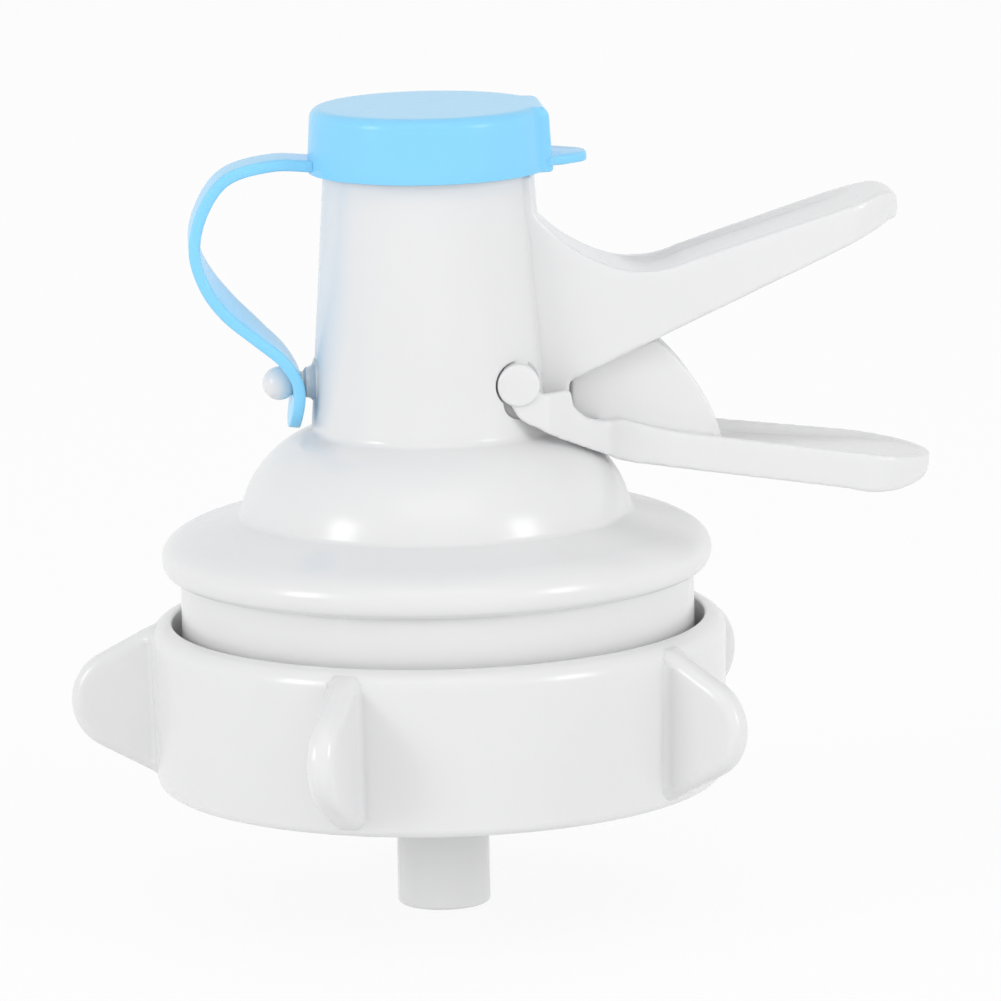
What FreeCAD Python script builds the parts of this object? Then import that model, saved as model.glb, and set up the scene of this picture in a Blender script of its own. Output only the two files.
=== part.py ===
"""Pour tap for a large water bottle: squeeze trigger, carrying handle and winged collar.

Millimetres. The origin is on the neck's axis, in the plane where the bottle's lip meets the gasket.
+Z runs up the neck, +X towards the handle, and -X towards the button that holds the cap's strap.
"""
import FreeCAD, Part
import Sketcher
import math
import os
import re

Vector = FreeCAD.Vector

# The driving dimensions, one row each of the document's sheet
driving = {
    # The bottle's neck and what sits on it
    "crown_r": 28.6,  # bore of the skirt that takes the bottle's crown
    "skirt_wall": 3.35,  # wall of the skirt
    "skirt_depth": 11.0,  # skirt below the bottle's lip
    "gasket_height": 2.0,  # thickness of the neck gasket
    "gasket_width": 7.6,  # width of the neck gasket
    "plate_height": 3.0,  # thickness of the seat plate
    # Flange, dome and neck
    "flange_step": 2.25,  # flange beyond the skirt
    "flange_z": 6.2,  # height of the flange's widest line
    "flange_rise": 6.3,  # from the flange's widest line to the foot of the dome
    "flange_drop": 4.5,  # from the flange's widest line to its lower edge
    "crease_r": 24.4,  # foot of the dome
    "dome_rise": 9.9,  # height of the dome
    "neck_length": 38.1,  # neck from the dome to the mouth
    "rim_r": 13.2,  # outside of the neck at the mouth
    "neck_flare": 2.0,  # extra radius of the neck at its foot
    "neck_wall": 2.4,  # wall of neck and dome
    # The strap's button
    "button_rise": 6.1,  # button above the neck's foot
    "button_reach": 3.85,  # ball's centre beyond the neck's foot
    "button_r": 2.1,  # ball of the button
    "stalk_r": 1.9,  # stalk behind the ball
    "post_r": 1.4,  # throat that the strap's eye sits on
    # The carrying handle
    "handle_reach": 43.1,  # handle's end beyond the neck's foot
    "root_rise": 21.1,  # handle's top at the neck, above the axle
    "saddle_rise": 12.75,  # lowest line of the handle's top, above the axle
    "saddle_reach": 11.8,  # that line beyond the neck's foot
    "tip_rise": 19.1,  # handle's end above the axle
    "root_half": 6.7,  # half width of the handle at the neck
    "grip_half": 8.3,  # half width of the handle where the palm lies
    "handle_wall": 1.3,  # side wall of the handle
    "handle_roof": 2.0,  # top wall of the handle
    "recess_depth": 0.5,  # shallow recess along the handle's top
    "recess_edge": 1.9,  # rim left beside that recess
    # The axle
    "pivot_inset": 5.7,  # axle behind the neck's face
    "pivot_rise": 6.9,  # axle above the neck's foot
    "axle_r": 1.6,  # radius of the axle
    "axle_play": 0.05,  # running clearance round the axle
    "boss_r": 3.3,  # boss that carries the axle in the neck's wall
    "boss_length": 3.15,  # length of that boss
    "seal_width": 1.3,  # groove for the axle's seal
    # The trigger
    "eye_r": 2.6,  # eye at the end of each arm
    "arm_wall": 1.45,  # thickness of the arms
    "cheek_half": 5.1,  # half width over the cheeks
    "cheek_wall": 1.2,  # thickness of the cheeks
    "tray_drop": 12.3,  # tray's underside below the axle
    "tray_floor": 1.3,  # floor of the tray
    "tray_half": 9.25,  # half width of the tray at its widest
    "tray_overhang": 3.7,  # tray beyond the handle's end
    # The rocker on the axle
    "nose_r": 2.0,  # nose that presses the stem
    "hub_r": 2.4,  # hub round the axle
    "rocker_width": 3.4,  # width of the rocker
    # The valve
    "stem_r": 2.0,  # radius of the stem
    "seat_r": 6.5,  # waterway through the seat plate
    "disc_r": 9.0,  # rubber disc
    "disc_height": 2.0,  # thickness of the disc
    "washer_height": 1.2,  # stiff washer under the disc
    "chamber_r": 12.4,  # outside of the valve chamber
    "chamber_wall": 1.6,  # wall of the valve chamber
    "chamber_depth": 12.5,  # chamber below the seat plate
    "guide_r": 9.6,  # outside of the stem guide
    "guide_height": 2.8,  # height of the stem guide's arms
    "spring_r": 3.5,  # middle radius of the spring's turns
    "wire_r": 0.4,  # radius of the spring wire
    "spring_turns": 6,  # turns of the spring
    # The feed tube
    "tube_r": 5.8,  # outside of the tube
    "tube_wall": 1.2,  # wall of the tube
    "tube_length": 25.9,  # tube below the chamber
    "socket_depth": 6.5,  # depth of the chamber's socket
    # The collar nut
    "nut_play": 0.35,  # clearance between skirt and nut
    "nut_wall": 3.65,  # wall of the nut
    "nut_height": 20.2,  # height of the nut
    "nut_gap": 3.5,  # bare skirt between flange and nut
    "lip_width": 3.9,  # nut's lower lip, inwards from its bore
    "lip_height": 3.5,  # height of the nut's lower lip
    "wing_reach": 10.15,  # wings beyond the nut's wall
    "wing_width": 3.4,  # thickness of a wing
    "wing_edge": 0.8,  # bevel of a wing's edges
    "wing_slant": 25.0,  # degrees by which a wing's lower edge rises towards its tip
    "wing_low_r": 6.0,  # arc from the tip to the lower straight edge
    "wing_top_r": 8.9,  # quarter circle from the tip to the upper edge
    "wing_drop": 0.7,  # a wing's upper edge below the nut's rim
    "wing_count": 5,  # wings round the nut
    "wing_turn": 30.7,  # degrees from the handle to the first wing
    "grip_width": 4.35,  # width of the grip ring
    "slip_height": 0.8,  # slip washer under the grip ring
    # The cap and its strap
    "cap_play": 0.3,  # clearance between cap and neck
    "cap_wall": 1.6,  # side wall of the cap
    "cap_roof": 1.6,  # top wall of the cap
    "cap_depth": 5.9,  # cap below the neck's mouth
    "cap_seat": 0.5,  # cap's roof above the neck's mouth
    "cap_taper": 0.4,  # cap's top narrower than its foot
    "plug_depth": 3.2,  # plug ring inside the mouth
    "pad_half": 6.3,  # half width of the cap's flat side
    "tab_reach": 4.9,  # pull tab beyond the cap
    "tab_height": 1.1,  # thickness of the pull tab
    "strap_width": 9.6,  # width of the strap at its eye
    "strap_neck": 7.0,  # width of the strap at the cap
    "strap_height": 1.15,  # thickness of the strap
    "strap_bow": 14.0,  # how far the strap bows out beyond the cap
    "strap_tail": 5.4,  # its loose end below the button
}

# Sizes and places that follow from them
derived = {
    "skirt_r": "crown_r + skirt_wall",
    "flange_r": "skirt_r + flange_step",
    "ledge_z": "gasket_height + plate_height",
    "ledge_r": "crown_r - 2.4",
    "crease_z": "flange_z + flange_rise",
    "foot_z": "crease_z + dome_rise",
    "foot_r": "rim_r + neck_flare",
    "rim_z": "foot_z + neck_length",
    "button_z": "foot_z + button_rise",
    "button_x": "foot_r + button_reach",
    "eye_x": "button_x - sqrt(button_r ^ 2 - post_r ^ 2) - 0.5 * strap_height - 0.05",
    "pivot_x": "foot_r - pivot_inset",
    "pivot_z": "foot_z + pivot_rise",
    "arm_inner_y": "sqrt(foot_r ^ 2 - pivot_x ^ 2) - 0.415",
    "arm_outer_y": "arm_inner_y + arm_wall",
    "eye_face_y": "arm_outer_y + 0.4",
    "boss_outer_y": "arm_inner_y - 0.3",
    "boss_inner_y": "arm_inner_y - boss_length",
    "saddle_x": "foot_r + saddle_reach",
    "saddle_z": "pivot_z + saddle_rise",
    "tip_x": "foot_r + handle_reach",
    "tip_z": "pivot_z + tip_rise",
    "tray_x": "tip_x + tray_overhang",
    "tray_z": "pivot_z - tray_drop",
    "fork_x": "0.5 * (crease_r + foot_r) + 0.9",
    "stem_top_z": "pivot_z - nose_r - 0.3",
    "spring_cap_z": "stem_top_z - 4.8",
    "plate_z": "ledge_z - plate_height",
    "disc_z": "plate_z - 0.85",
    "washer_z": "disc_z - disc_height",
    "stem_low_z": "washer_z - washer_height - 3.0",
    "chamber_z": "plate_z - chamber_depth",
    "chamber_low_z": "chamber_z - chamber_wall",
    "tube_z": "chamber_low_z - tube_length",
    "nut_top_z": "flange_z - flange_drop - nut_gap",
    "nut_low_z": "nut_top_z - nut_height",
    "nut_bore_r": "skirt_r + nut_play",
    "nut_r": "nut_bore_r + nut_wall",
    "lip_r": "nut_bore_r - lip_width",
    "slip_z": "nut_low_z + lip_height",
    "grip_z": "slip_z + slip_height",
    "wing_r": "nut_r + wing_reach",
    "wing_z": "nut_top_z - wing_drop - wing_top_r",
    "cap_z": "rim_z - cap_depth",
    "cap_roof_z": "rim_z + cap_seat",
    "cap_top_z": "cap_roof_z + cap_roof",
    "cap_r": "rim_r + cap_play + cap_wall",
    "cap_top_r": "cap_r - cap_taper",
    "tab_x": "cap_r + tab_reach",
}

doc = FreeCAD.newDocument("bottle_tap")
sheet = doc.addObject("Spreadsheet::Sheet", "Sizes")
for row, (alias, number) in enumerate(driving.items(), start=1):
    sheet.set("A%d" % row, alias.replace("_", " "))
    sheet.set("B%d" % row, str(number))
    sheet.setAlias("B%d" % row, alias)
doc.recompute()


def spelled_out(text):
    """An expression with its derived names written out in driving dimensions."""
    def spell(match):
        word = match.group(0)
        return "(%s)" % spelled_out(derived[word]) if word in derived else word
    return re.sub(r"[a-z_][a-z0-9_]*", spell, str(text))


def val(text):
    """The value of an expression."""
    return float(sheet.evalExpression(spelled_out(text)))


def bound(text):
    """The same expression as another object of the document writes it."""
    def named(match):
        word = match.group(0)
        return "Sizes." + word if word in driving else word
    return re.sub(r"[a-z_][a-z0-9_]*", named, spelled_out(text))


def bind(thing, **properties):
    """Tie properties of an object to expressions of the sheet."""
    for name, text in properties.items():
        thing.setExpression(name, bound(text))


def place(thing, **position):
    """Tie an object's place to expressions of the sheet."""
    for key, text in position.items():
        thing.setExpression("Placement.Base." + key, bound(text))


def new_body(name):
    return doc.addObject("PartDesign::Body", name)


def new_sketch(body, name, role):
    """A sketch on one of the body's own origin planes."""
    sketch = body.newObject("Sketcher::SketchObject", name)
    for feature in body.Origin.OriginFeatures:
        if feature.Role == role:
            sketch.AttachmentSupport = [(feature, "")]
    sketch.MapMode = "FlatFace"
    return sketch


def tie_point(sketch, geometry, position, x, y):
    """Hold a point of the sketch at two expressions of the sheet."""
    for kind, text in (("DistanceX", x), ("DistanceY", y)):
        constraint = Sketcher.Constraint(kind, -1, 1, geometry, position, val(text))
        index = sketch.addConstraint(constraint)
        sketch.setExpression("Constraints[%d]" % index, bound(text))


def draw(sketch, corners):
    """A closed outline. A corner is (x, y), or (x, y, middle x, middle y) for an arc that ends there."""
    count = len(corners)
    ends = []
    for index, corner in enumerate(corners):
        before = corners[index - 1]
        start = Vector(val(before[0]), val(before[1]), 0)
        end = Vector(val(corner[0]), val(corner[1]), 0)
        if len(corner) == 2:
            geometry = sketch.addGeometry(Part.LineSegment(start, end), False)
            ends.append((geometry, 1, 2))
            continue
        middle = Vector(val(corner[2]), val(corner[3]), 0)
        turns_left = (middle - start).cross(end - middle).z > 0
        first, last = (start, end) if turns_left else (end, start)
        geometry = sketch.addGeometry(Part.Arc(first, middle, last), False)
        ends.append((geometry, 1, 2) if turns_left else (geometry, 2, 1))
        point = sketch.addGeometry(Part.Point(middle), True)
        sketch.addConstraint(Sketcher.Constraint("PointOnObject", point, 1, geometry))
        tie_point(sketch, point, 1, corner[2], corner[3])
    for index in range(count):
        here, after = ends[index], ends[(index + 1) % count]
        sketch.addConstraint(Sketcher.Constraint("Coincident", here[0], here[2], after[0], after[1]))
        tie_point(sketch, here[0], here[2], corners[index][0], corners[index][1])


def eased(start, middle, end, runs):
    """A round stretch as straight runs along the parabola through three points, the first left out."""
    corners = []
    for step in range(1, runs + 1):
        t = step / runs
        weights = (1 - t) * (1 - 2 * t), 4 * t * (1 - t), t * (2 * t - 1)
        corners.append(tuple(
            " + ".join("%.5f * (%s)" % (weight, point[axis])
                       for weight, point in zip(weights, (start, middle, end)))
            for axis in (0, 1)))
    return corners


def turned(name, corners):
    """A body turned about the neck's axis from an outline of (radius, height) corners."""
    body = new_body(name)
    sketch = new_sketch(body, name + "_section", "XZ_Plane")
    draw(sketch, corners)
    turn = body.newObject("PartDesign::Revolution", name + "_turn")
    turn.Profile = sketch
    turn.ReferenceAxis = (sketch, ["V_Axis"])
    turn.Angle = 360
    body.Tip = turn
    return body


def padded(name, corners, role, length):
    """A body padded evenly to both sides of a plane."""
    body = new_body(name)
    sketch = new_sketch(body, name + "_outline", role)
    draw(sketch, corners)
    pad = body.newObject("PartDesign::Pad", name + "_pad")
    pad.Profile = sketch
    pad.SideType = "Symmetric"
    bind(pad, Length=length)
    body.Tip = pad
    return body


def rod(name, radius, start, length, direction="z", x=0, y=0, z=0):
    """A cylinder that starts at (x, y, z) plus start along z, or along y, or along minus x."""
    cylinder = doc.addObject("Part::Cylinder", name)
    bind(cylinder, Radius=radius, Height=length)
    turn = {"z": (Vector(0, 0, 1), 0), "y": (Vector(1, 0, 0), -90), "-x": (Vector(0, 1, 0), -90)}
    cylinder.Placement = FreeCAD.Placement(Vector(), FreeCAD.Rotation(*turn[direction]))
    place = {"x": str(x), "y": str(y), "z": str(z)}
    place[direction[-1]] = "%s + (%s)" % (place[direction[-1]], start)
    for key, text in place.items():
        cylinder.setExpression("Placement.Base." + key, bound(text))
    return cylinder


def block(name, x0, x1, y0, y1, z0, z1):
    box = doc.addObject("Part::Box", name)
    bind(box, Length="(%s) - (%s)" % (x1, x0), Width="(%s) - (%s)" % (y1, y0),
         Height="(%s) - (%s)" % (z1, z0))
    for key, text in (("x", x0), ("y", y0), ("z", z0)):
        box.setExpression("Placement.Base." + key, bound(text))
    return box


def fused(name, pieces):
    fuse = doc.addObject("Part::MultiFuse", name)
    fuse.Shapes = pieces
    fuse.Refine = True
    return fuse


def common(name, first, second):
    both = doc.addObject("Part::Common", name)
    both.Base = first
    both.Tool = second
    return both


def cut(name, base, tool):
    """The base with a tool, or a list of tools, taken away."""
    if isinstance(tool, list):
        tool = tool[0] if len(tool) == 1 else fused(name + "_tools", tool)
    result = doc.addObject("Part::Cut", name)
    result.Base = base
    result.Tool = tool
    result.Refine = True
    return result


def ring(name, outer, inner, bottom, height):
    """A plain washer, bush or seal about the neck's axis."""
    return cut(name, rod(name + "_outside", outer, bottom, height),
               rod(name + "_bore", inner, "%s - 1" % bottom, "%s + 2" % height))


def mirrored_corners(corners):
    """An outline with its mirror image in the x axis; the given half runs from +y, its last corner ends it."""
    back = []
    for index in range(len(corners) - 1, 0, -1):
        here, before = corners[index], corners[index - 1]
        middle = (here[2], "-(%s)" % here[3]) if len(here) == 4 else ()
        back.append((before[0], "-(%s)" % before[1]) + middle)
    return corners + back


def spout_housing():
    """Neck, dome, flange, skirt, handle and strap button: one moulding."""
    skirt_top = ("skirt_r", "flange_z - flange_drop")
    brim, brim_top = ("flange_r", "flange_z"), ("flange_r - 3.6", "crease_z - 1.8")
    form = turned("housing_form", [
        ("0", "-skirt_depth"), ("skirt_r", "-skirt_depth"), skirt_top,
        *eased(skirt_top, ("flange_r - 0.6", "flange_z - 2.7"), brim, 3),
        *eased(brim, ("flange_r - 0.75", "flange_z + 2.7"), brim_top, 4),
        ("crease_r", "crease_z"),
        ("foot_r", "foot_z", "0.7 * crease_r + 0.3 * foot_r", "crease_z + 0.55 * dome_rise"),
        ("rim_r + 0.2", "cap_z - 1"), ("rim_r", "rim_z"), ("0", "rim_z")])
    bore = turned("housing_bore", [
        ("0", "-skirt_depth - 1"), ("skirt_r - 0.6", "-skirt_depth - 1"),
        ("skirt_r - 0.6", "-skirt_depth"), ("crown_r", "4 - skirt_depth"),
        ("crown_r", "ledge_z"), ("ledge_r", "ledge_z"), ("ledge_r", "crease_z - 3.0"),
        ("crease_r - neck_wall", "crease_z - 1.9"),
        ("foot_r - neck_wall", "foot_z - 1.8",
         "0.7 * crease_r + 0.3 * foot_r - 0.875 * neck_wall", "crease_z + 0.39 * dome_rise"),
        ("rim_r - neck_wall", "rim_z + 1"), ("0", "rim_z + 1")])
    outside = fused("housing_outside", [form, handle_shell(), strap_button()])
    hollow = cut("housing_hollow", outside, bore)
    bosses = []
    tools = [cross_rod("axle_bore", "axle_r + axle_play", "-arm_outer_y - 5", "arm_outer_y + 5")]
    for side, flip in (("near", "-"), ("far", "")):
        bosses.append(cross_rod("boss_" + side, "boss_r", flip + "boss_inner_y", flip + "boss_outer_y"))
        tools.append(cross_rod("eye_pocket_" + side, "eye_r + 0.6",
                               flip + "boss_outer_y", flip + "(boss_outer_y + 8)"))
        tools.append(cross_rod("arm_pocket_" + side, "eye_r + 0.3", flip + "boss_outer_y",
                               flip + "(boss_outer_y + 8)", "pivot_x + 0.3", "pivot_z - 0.85 * eye_r"))
        tools.append(cross_rod("seal_groove_" + side, "axle_r + seal_width",
                               flip + "boss_inner_y", flip + "(boss_inner_y + seal_width)"))
    return cut("spout_housing", fused("housing_walls", [hollow] + bosses), tools)


def strap_button():
    """The button that the strap's eye snaps over: flared stalk, throat and ball."""
    button = turned("strap_button", [
        ("0", "foot_r - neck_wall - 0.3"), ("stalk_r + 1.2", "foot_r - neck_wall - 0.3"),
        ("stalk_r + 1.2", "foot_r - 0.6"), ("stalk_r", "foot_r + 0.5"),
        ("stalk_r", "eye_x - 0.5 * strap_height - 0.7"), ("post_r", "eye_x - 0.5 * strap_height - 0.4"),
        ("post_r", "button_x - sqrt(button_r ^ 2 - post_r ^ 2)"),
        ("0", "button_x + button_r", "button_r", "button_x")])
    button.Placement = FreeCAD.Placement(Vector(), FreeCAD.Rotation(Vector(0, 1, 0), -90))
    place(button, z="button_z")
    return button


def handle_side(name, drop, end):
    """The handle's side outline; the hollow's is dropped by the roof and open below."""
    root = "foot_r - 3.2"
    outline = [
        (root, "pivot_z + root_rise - %s" % drop),
        ("saddle_x - 4.0", "saddle_z + 0.35 - %s" % drop, "saddle_x - 10.4", "saddle_z + 3.55 - %s" % drop),
        ("saddle_x + 4.5", "saddle_z + 1.15 - %s" % drop, "saddle_x", "saddle_z - %s" % drop)]
    if drop == "0":
        outline += [
            ("tip_x - 7.6", "tip_z + 0.7"), ("tip_x", "tip_z", "tip_x - 2.2", "tip_z + 1.7"),
            ("tip_x - 1.6", "tip_z - 1.4", "tip_x - 0.2", "tip_z - 1.0"),
            ("foot_r + 1.4", "pivot_z - 0.7"), ("foot_r", "pivot_z - 1.0"), (root, "pivot_z - 1.0")]
    else:
        outline += [(end, "tip_z - 0.4 - %s" % drop), (end, "pivot_z - 10"), (root, "pivot_z - 10")]
    return padded(name, outline, "XZ_Plane", "4 * grip_half")


def handle_plan(name, inset, end):
    """The handle seen from above, narrow at the neck and round at the end."""
    return padded(name, mirrored_corners([
        ("foot_r - 3.2", "root_half - %s" % inset), ("foot_r - 1.2", "root_half - %s" % inset),
        ("%s - 10" % end, "grip_half - %s" % inset),
        (end, "0", "%s - 2.6" % end, "grip_half - 2.4 - 0.7 * %s" % inset)]),
        "XY_Plane", "2 * (tip_z + 20)")


def handle_shell():
    """The hollow handle, open below so that the trigger's cheeks slide up inside."""
    outside = common("handle_outside", handle_side("handle_side", "0", "tip_x"),
                     handle_plan("handle_plan", "0", "tip_x"))
    inside = common("handle_hollow", handle_side("hollow_side", "handle_roof", "tip_x - 3.6"),
                    handle_plan("hollow_plan", "handle_wall", "tip_x - handle_wall"))
    recess_line = padded("recess_side", [
        ("saddle_x - 4.0", "saddle_z + 0.35"),
        ("saddle_x + 4.5", "saddle_z + 1.15 - recess_depth", "saddle_x", "saddle_z - recess_depth"),
        ("tip_x - 7.6", "tip_z + 0.7 - recess_depth"), ("tip_x - 3.0", "tip_z + 1.2"),
        ("tip_x - 3.0", "tip_z + 9"), ("saddle_x - 4.0", "tip_z + 9")], "XZ_Plane", "4 * grip_half")
    recess = common("handle_recess", recess_line,
                    handle_plan("recess_plan", "recess_edge", "tip_x - recess_edge"))
    return cut("handle_shell", outside, [inside, recess])


def on_eye(angle):
    """A point on the round end of the trigger's arm."""
    return "pivot_x + eye_r * cos(%d deg)" % angle, "pivot_z + eye_r * sin(%d deg)" % angle


def trigger_lever():
    """Two arms that pass outside the neck, an open tray for the fingers and two raised cheeks."""
    band = padded("lever_band", [
        on_eye(-111) + on_eye(150),
        ("pivot_x + 1.8", "pivot_z - 5.2", "pivot_x - 0.15", "pivot_z - 3.9"),
        ("fork_x - 6.4", "tray_z + 5.4"), ("fork_x + 1.5", "tray_z + 1.45"), ("fork_x + 3.6", "tray_z + 1.0"),
        ("fork_x + 11.6", "tray_z"), ("tray_x - 11.3", "tray_z - 2.4"),
        ("tray_x - 0.9", "tray_z - 1.8", "tray_x - 4.6", "tray_z - 2.85"),
        ("tray_x", "tray_z + 0.6"), ("tray_x - 9", "tray_z + 1.9"), ("fork_x + 13.9", "tray_z + 4.2"),
        ("fork_x - 0.6", "tray_z + 6.0", "fork_x + 6.6", "tray_z + 5.3"),
        ("foot_r + 1.3", on_eye(-27)[1], "foot_r + 2.0", "tray_z + 8.3"), on_eye(-27)],
        "XZ_Plane", "4 * arm_outer_y")
    plan = padded("lever_plan", mirrored_corners([
        ("pivot_x - 4", "arm_outer_y"), ("pivot_x + boss_r + 0.4", "arm_outer_y"),
        ("fork_x - 1.8", "cheek_half + 3.3"), ("fork_x + 0.6", "cheek_half + 1.3"),
        ("fork_x + 13.6", "tray_half - 1.85"), ("tray_x - 9", "tray_half"),
        ("tray_x", "0", "tray_x - 2.7", "tray_half - 2.65")]), "XY_Plane", "4 * pivot_z")
    fork = padded("lever_fork", mirrored_corners([
        ("pivot_x - 6", "arm_inner_y"), ("pivot_x + boss_r + 0.1", "arm_inner_y"),
        ("fork_x - 2.6", "cheek_half + 2.1"), ("fork_x", "cheek_half - 0.3"), ("fork_x", "0")]),
        "XY_Plane", "4 * pivot_z")
    arms = cut("lever_arms", common("lever_outside", band, plan), fork)
    cheeks = padded("lever_cheeks", [
        ("foot_r + 1.6", "tray_z + 5.4"), ("fork_x - 0.8", "tray_z + 3.8"), ("fork_x + 3.6", "tray_z + 1.7"),
        ("tray_x - 11.3", "tray_z - 1.8"), ("tray_x - 5", "tray_z - 1.8"), ("tray_x - 2", "tray_z"),
        ("tray_x - 2", "tray_z + 2.1"), ("fork_x + 14.4", "tray_z + 4.8"),
        ("fork_x + 6.6", "pivot_z + 3.9", "fork_x + 11.2", "pivot_z - 1.0"),
        ("foot_r + 1.6", "pivot_z + 1.3")], "XZ_Plane", "2 * cheek_half")
    channel = padded("lever_channel", [
        ("foot_r - 1.2", "tray_z - 2"), ("fork_x", "tray_z - 2"), ("fork_x", "tray_z + 2.6 + tray_floor"),
        ("fork_x + 3.6", "tray_z + 1.2 + tray_floor"), ("fork_x + 11.6", "tray_z + tray_floor"),
        ("tray_x - 11.3", "tray_z - 2.3 + tray_floor"), ("tray_x - 5", "tray_z - 2.4 + tray_floor"),
        ("tray_x - 3.4", "tray_z"), ("tray_x - 3.4", "pivot_z + 7"), ("foot_r - 1.2", "pivot_z + 7")],
        "XZ_Plane", "2 * (cheek_half - cheek_wall)")
    tray = cut("lever_tray", fused("lever_shell", [arms, cheeks]), channel)
    eyes = [cross_rod("lever_eye_near", "eye_r", "-eye_face_y", "-arm_inner_y"),
            cross_rod("lever_eye_far", "eye_r", "arm_inner_y", "eye_face_y")]
    return cut("trigger_lever", fused("lever_whole", [tray] + eyes),
               keyed_rod("lever_bore", "0.02", "0.6 - eye_face_y", "eye_face_y + 5"))


def cross_rod(name, radius, start, end, x="pivot_x", z="pivot_z"):
    """A rod along y between two values of y, on the axle's line if no other is given."""
    low, high = sorted((start, end), key=val)
    cylinder = doc.addObject("Part::Cylinder", name)
    bind(cylinder, Radius=radius, Height="%s - (%s)" % (high, low))
    cylinder.Placement = FreeCAD.Placement(Vector(), FreeCAD.Rotation(Vector(1, 0, 0), -90))
    place(cylinder, x=x, y=low, z=z)
    return cylinder


def keyed_rod(name, play, start, end):
    """A rod on the axle's line with the flat that keys the arms and the rocker to it."""
    flat = block(name + "_flat", "pivot_x - 2 * axle_r", "pivot_x + 2 * axle_r", start, end,
                 "pivot_z + axle_r - 0.5 + %s" % play, "pivot_z + 3 * axle_r")
    return cut(name, cross_rod(name + "_round", "axle_r + %s" % play, start, end), flat)


def pivot_axle():
    """A steel axle through the neck, flattened where it drives; its near end is blind in the arm's eye."""
    middle = "boss_inner_y - 0.4"
    return fused("pivot_axle", [
        keyed_rod("axle_near", "0", "0.65 - eye_face_y", "-arm_inner_y"),
        cross_rod("axle_bearing_near", "axle_r", "-arm_inner_y", "-(%s)" % middle),
        keyed_rod("axle_middle", "0", "-(%s)" % middle, middle),
        cross_rod("axle_bearing_far", "axle_r", middle, "arm_inner_y"),
        keyed_rod("axle_far", "0", "arm_inner_y", "eye_face_y + 1.2")])


def axle_clip():
    """The spring washer that holds the axle's far end."""
    return cut("axle_clip", cross_rod("clip_disc", "axle_r + 1.5", "eye_face_y + 0.05", "eye_face_y + 0.55"),
               cross_rod("clip_hole", "axle_r + 0.02", "eye_face_y - 1", "eye_face_y + 2"))


def axle_seal(name, side):
    """A square rubber ring in the groove round the axle."""
    start, end = side + "(boss_inner_y + 0.04)", side + "(boss_inner_y + seal_width - 0.04)"
    return cut(name, cross_rod(name + "_outside", "axle_r + seal_width - 0.04", start, end),
               cross_rod(name + "_bore", "axle_r + 0.04", start, end))


def rocker():
    """The finger on the axle inside the neck that presses the valve stem down."""
    arm = padded("rocker_arm", [
        ("0", "pivot_z - nose_r", "-nose_r", "pivot_z"),
        ("pivot_x", "pivot_z - hub_r"), ("pivot_x", "pivot_z + hub_r", "pivot_x + hub_r", "pivot_z"),
        ("0", "pivot_z + nose_r")], "XZ_Plane", "rocker_width")
    return cut("rocker", arm, keyed_rod("rocker_bore", "0.02", "-rocker_width", "rocker_width"))


def seat_plate():
    """The plate between the housing's ledge and the gasket; the disc closes its raised seat."""
    edge = "crown_r - 0.2"
    spigot = "chamber_r - chamber_wall - 0.05"
    return turned("seat_plate", [
        ("seat_r", "plate_z - 0.8"), ("seat_r + 1.0", "plate_z - 0.8"), ("seat_r + 1.4", "plate_z"),
        (spigot, "plate_z"), (spigot, "plate_z + 0.8"), ("chamber_r + 0.05", "plate_z + 0.8"),
        ("chamber_r + 0.05", "plate_z"), (edge, "plate_z"), (edge, "plate_z + 0.6"),
        ("%s - 1.5" % edge, "plate_z + 0.6"), ("%s - 1.5" % edge, "plate_z + 2.2"),
        (edge, "plate_z + 2.2"), (edge, "ledge_z"), ("guide_r + 0.05", "ledge_z"),
        ("guide_r + 0.05", "ledge_z - 0.8"), ("seat_r", "ledge_z - 0.8")])


def plate_seal():
    """The rubber ring in the plate's edge groove."""
    outer, inner, low, high = "crown_r - 0.1", "crown_r - 1.62", "plate_z + 0.64", "plate_z + 2.16"
    return turned("plate_seal", [
        (inner, low + " + 0.45"), (inner + " + 0.45", low), (outer + " - 0.45", low), (outer, low + " + 0.45"),
        (outer, high + " - 0.45"), (outer + " - 0.45", high), (inner + " + 0.45", high),
        (inner, high + " - 0.45")])


def valve_chamber():
    """The cup under the plate that holds the disc, with the feed tube's socket in its floor."""
    socket = "tube_r - 0.5 + 0.03"
    opening = "tube_r - tube_wall - 0.4"
    return turned("valve_chamber", [
        (opening, "chamber_low_z"), (socket, "chamber_low_z"), (socket, "chamber_low_z - socket_depth"),
        ("tube_r + 1.2", "chamber_low_z - socket_depth"), ("tube_r + 1.2", "chamber_low_z - 1.2"),
        ("tube_r + 2.8", "chamber_low_z"), ("chamber_r - 1.2", "chamber_low_z"),
        ("chamber_r - 0.35", "chamber_low_z + 0.35"), ("chamber_r", "chamber_low_z + 1.2"),
        ("chamber_r", "plate_z + 0.8"), ("chamber_r - chamber_wall", "plate_z + 0.8"),
        ("chamber_r - chamber_wall", "chamber_z"), (opening, "chamber_z")])


def feed_tube():
    """The tube that reaches into the bottle; its stepped end is pressed up into the chamber's socket."""
    bore = "tube_r - tube_wall"
    step = "chamber_low_z - socket_depth"
    return turned("feed_tube", [
        ("%s + 0.4" % bore, "tube_z"), ("tube_r - 0.4", "tube_z"),
        ("tube_r", "tube_z + 0.4"), ("tube_r", step), ("tube_r - 0.5", step), ("tube_r - 0.5", "chamber_low_z"),
        (bore, "chamber_low_z"), (bore, "tube_z + 0.4")])


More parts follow.
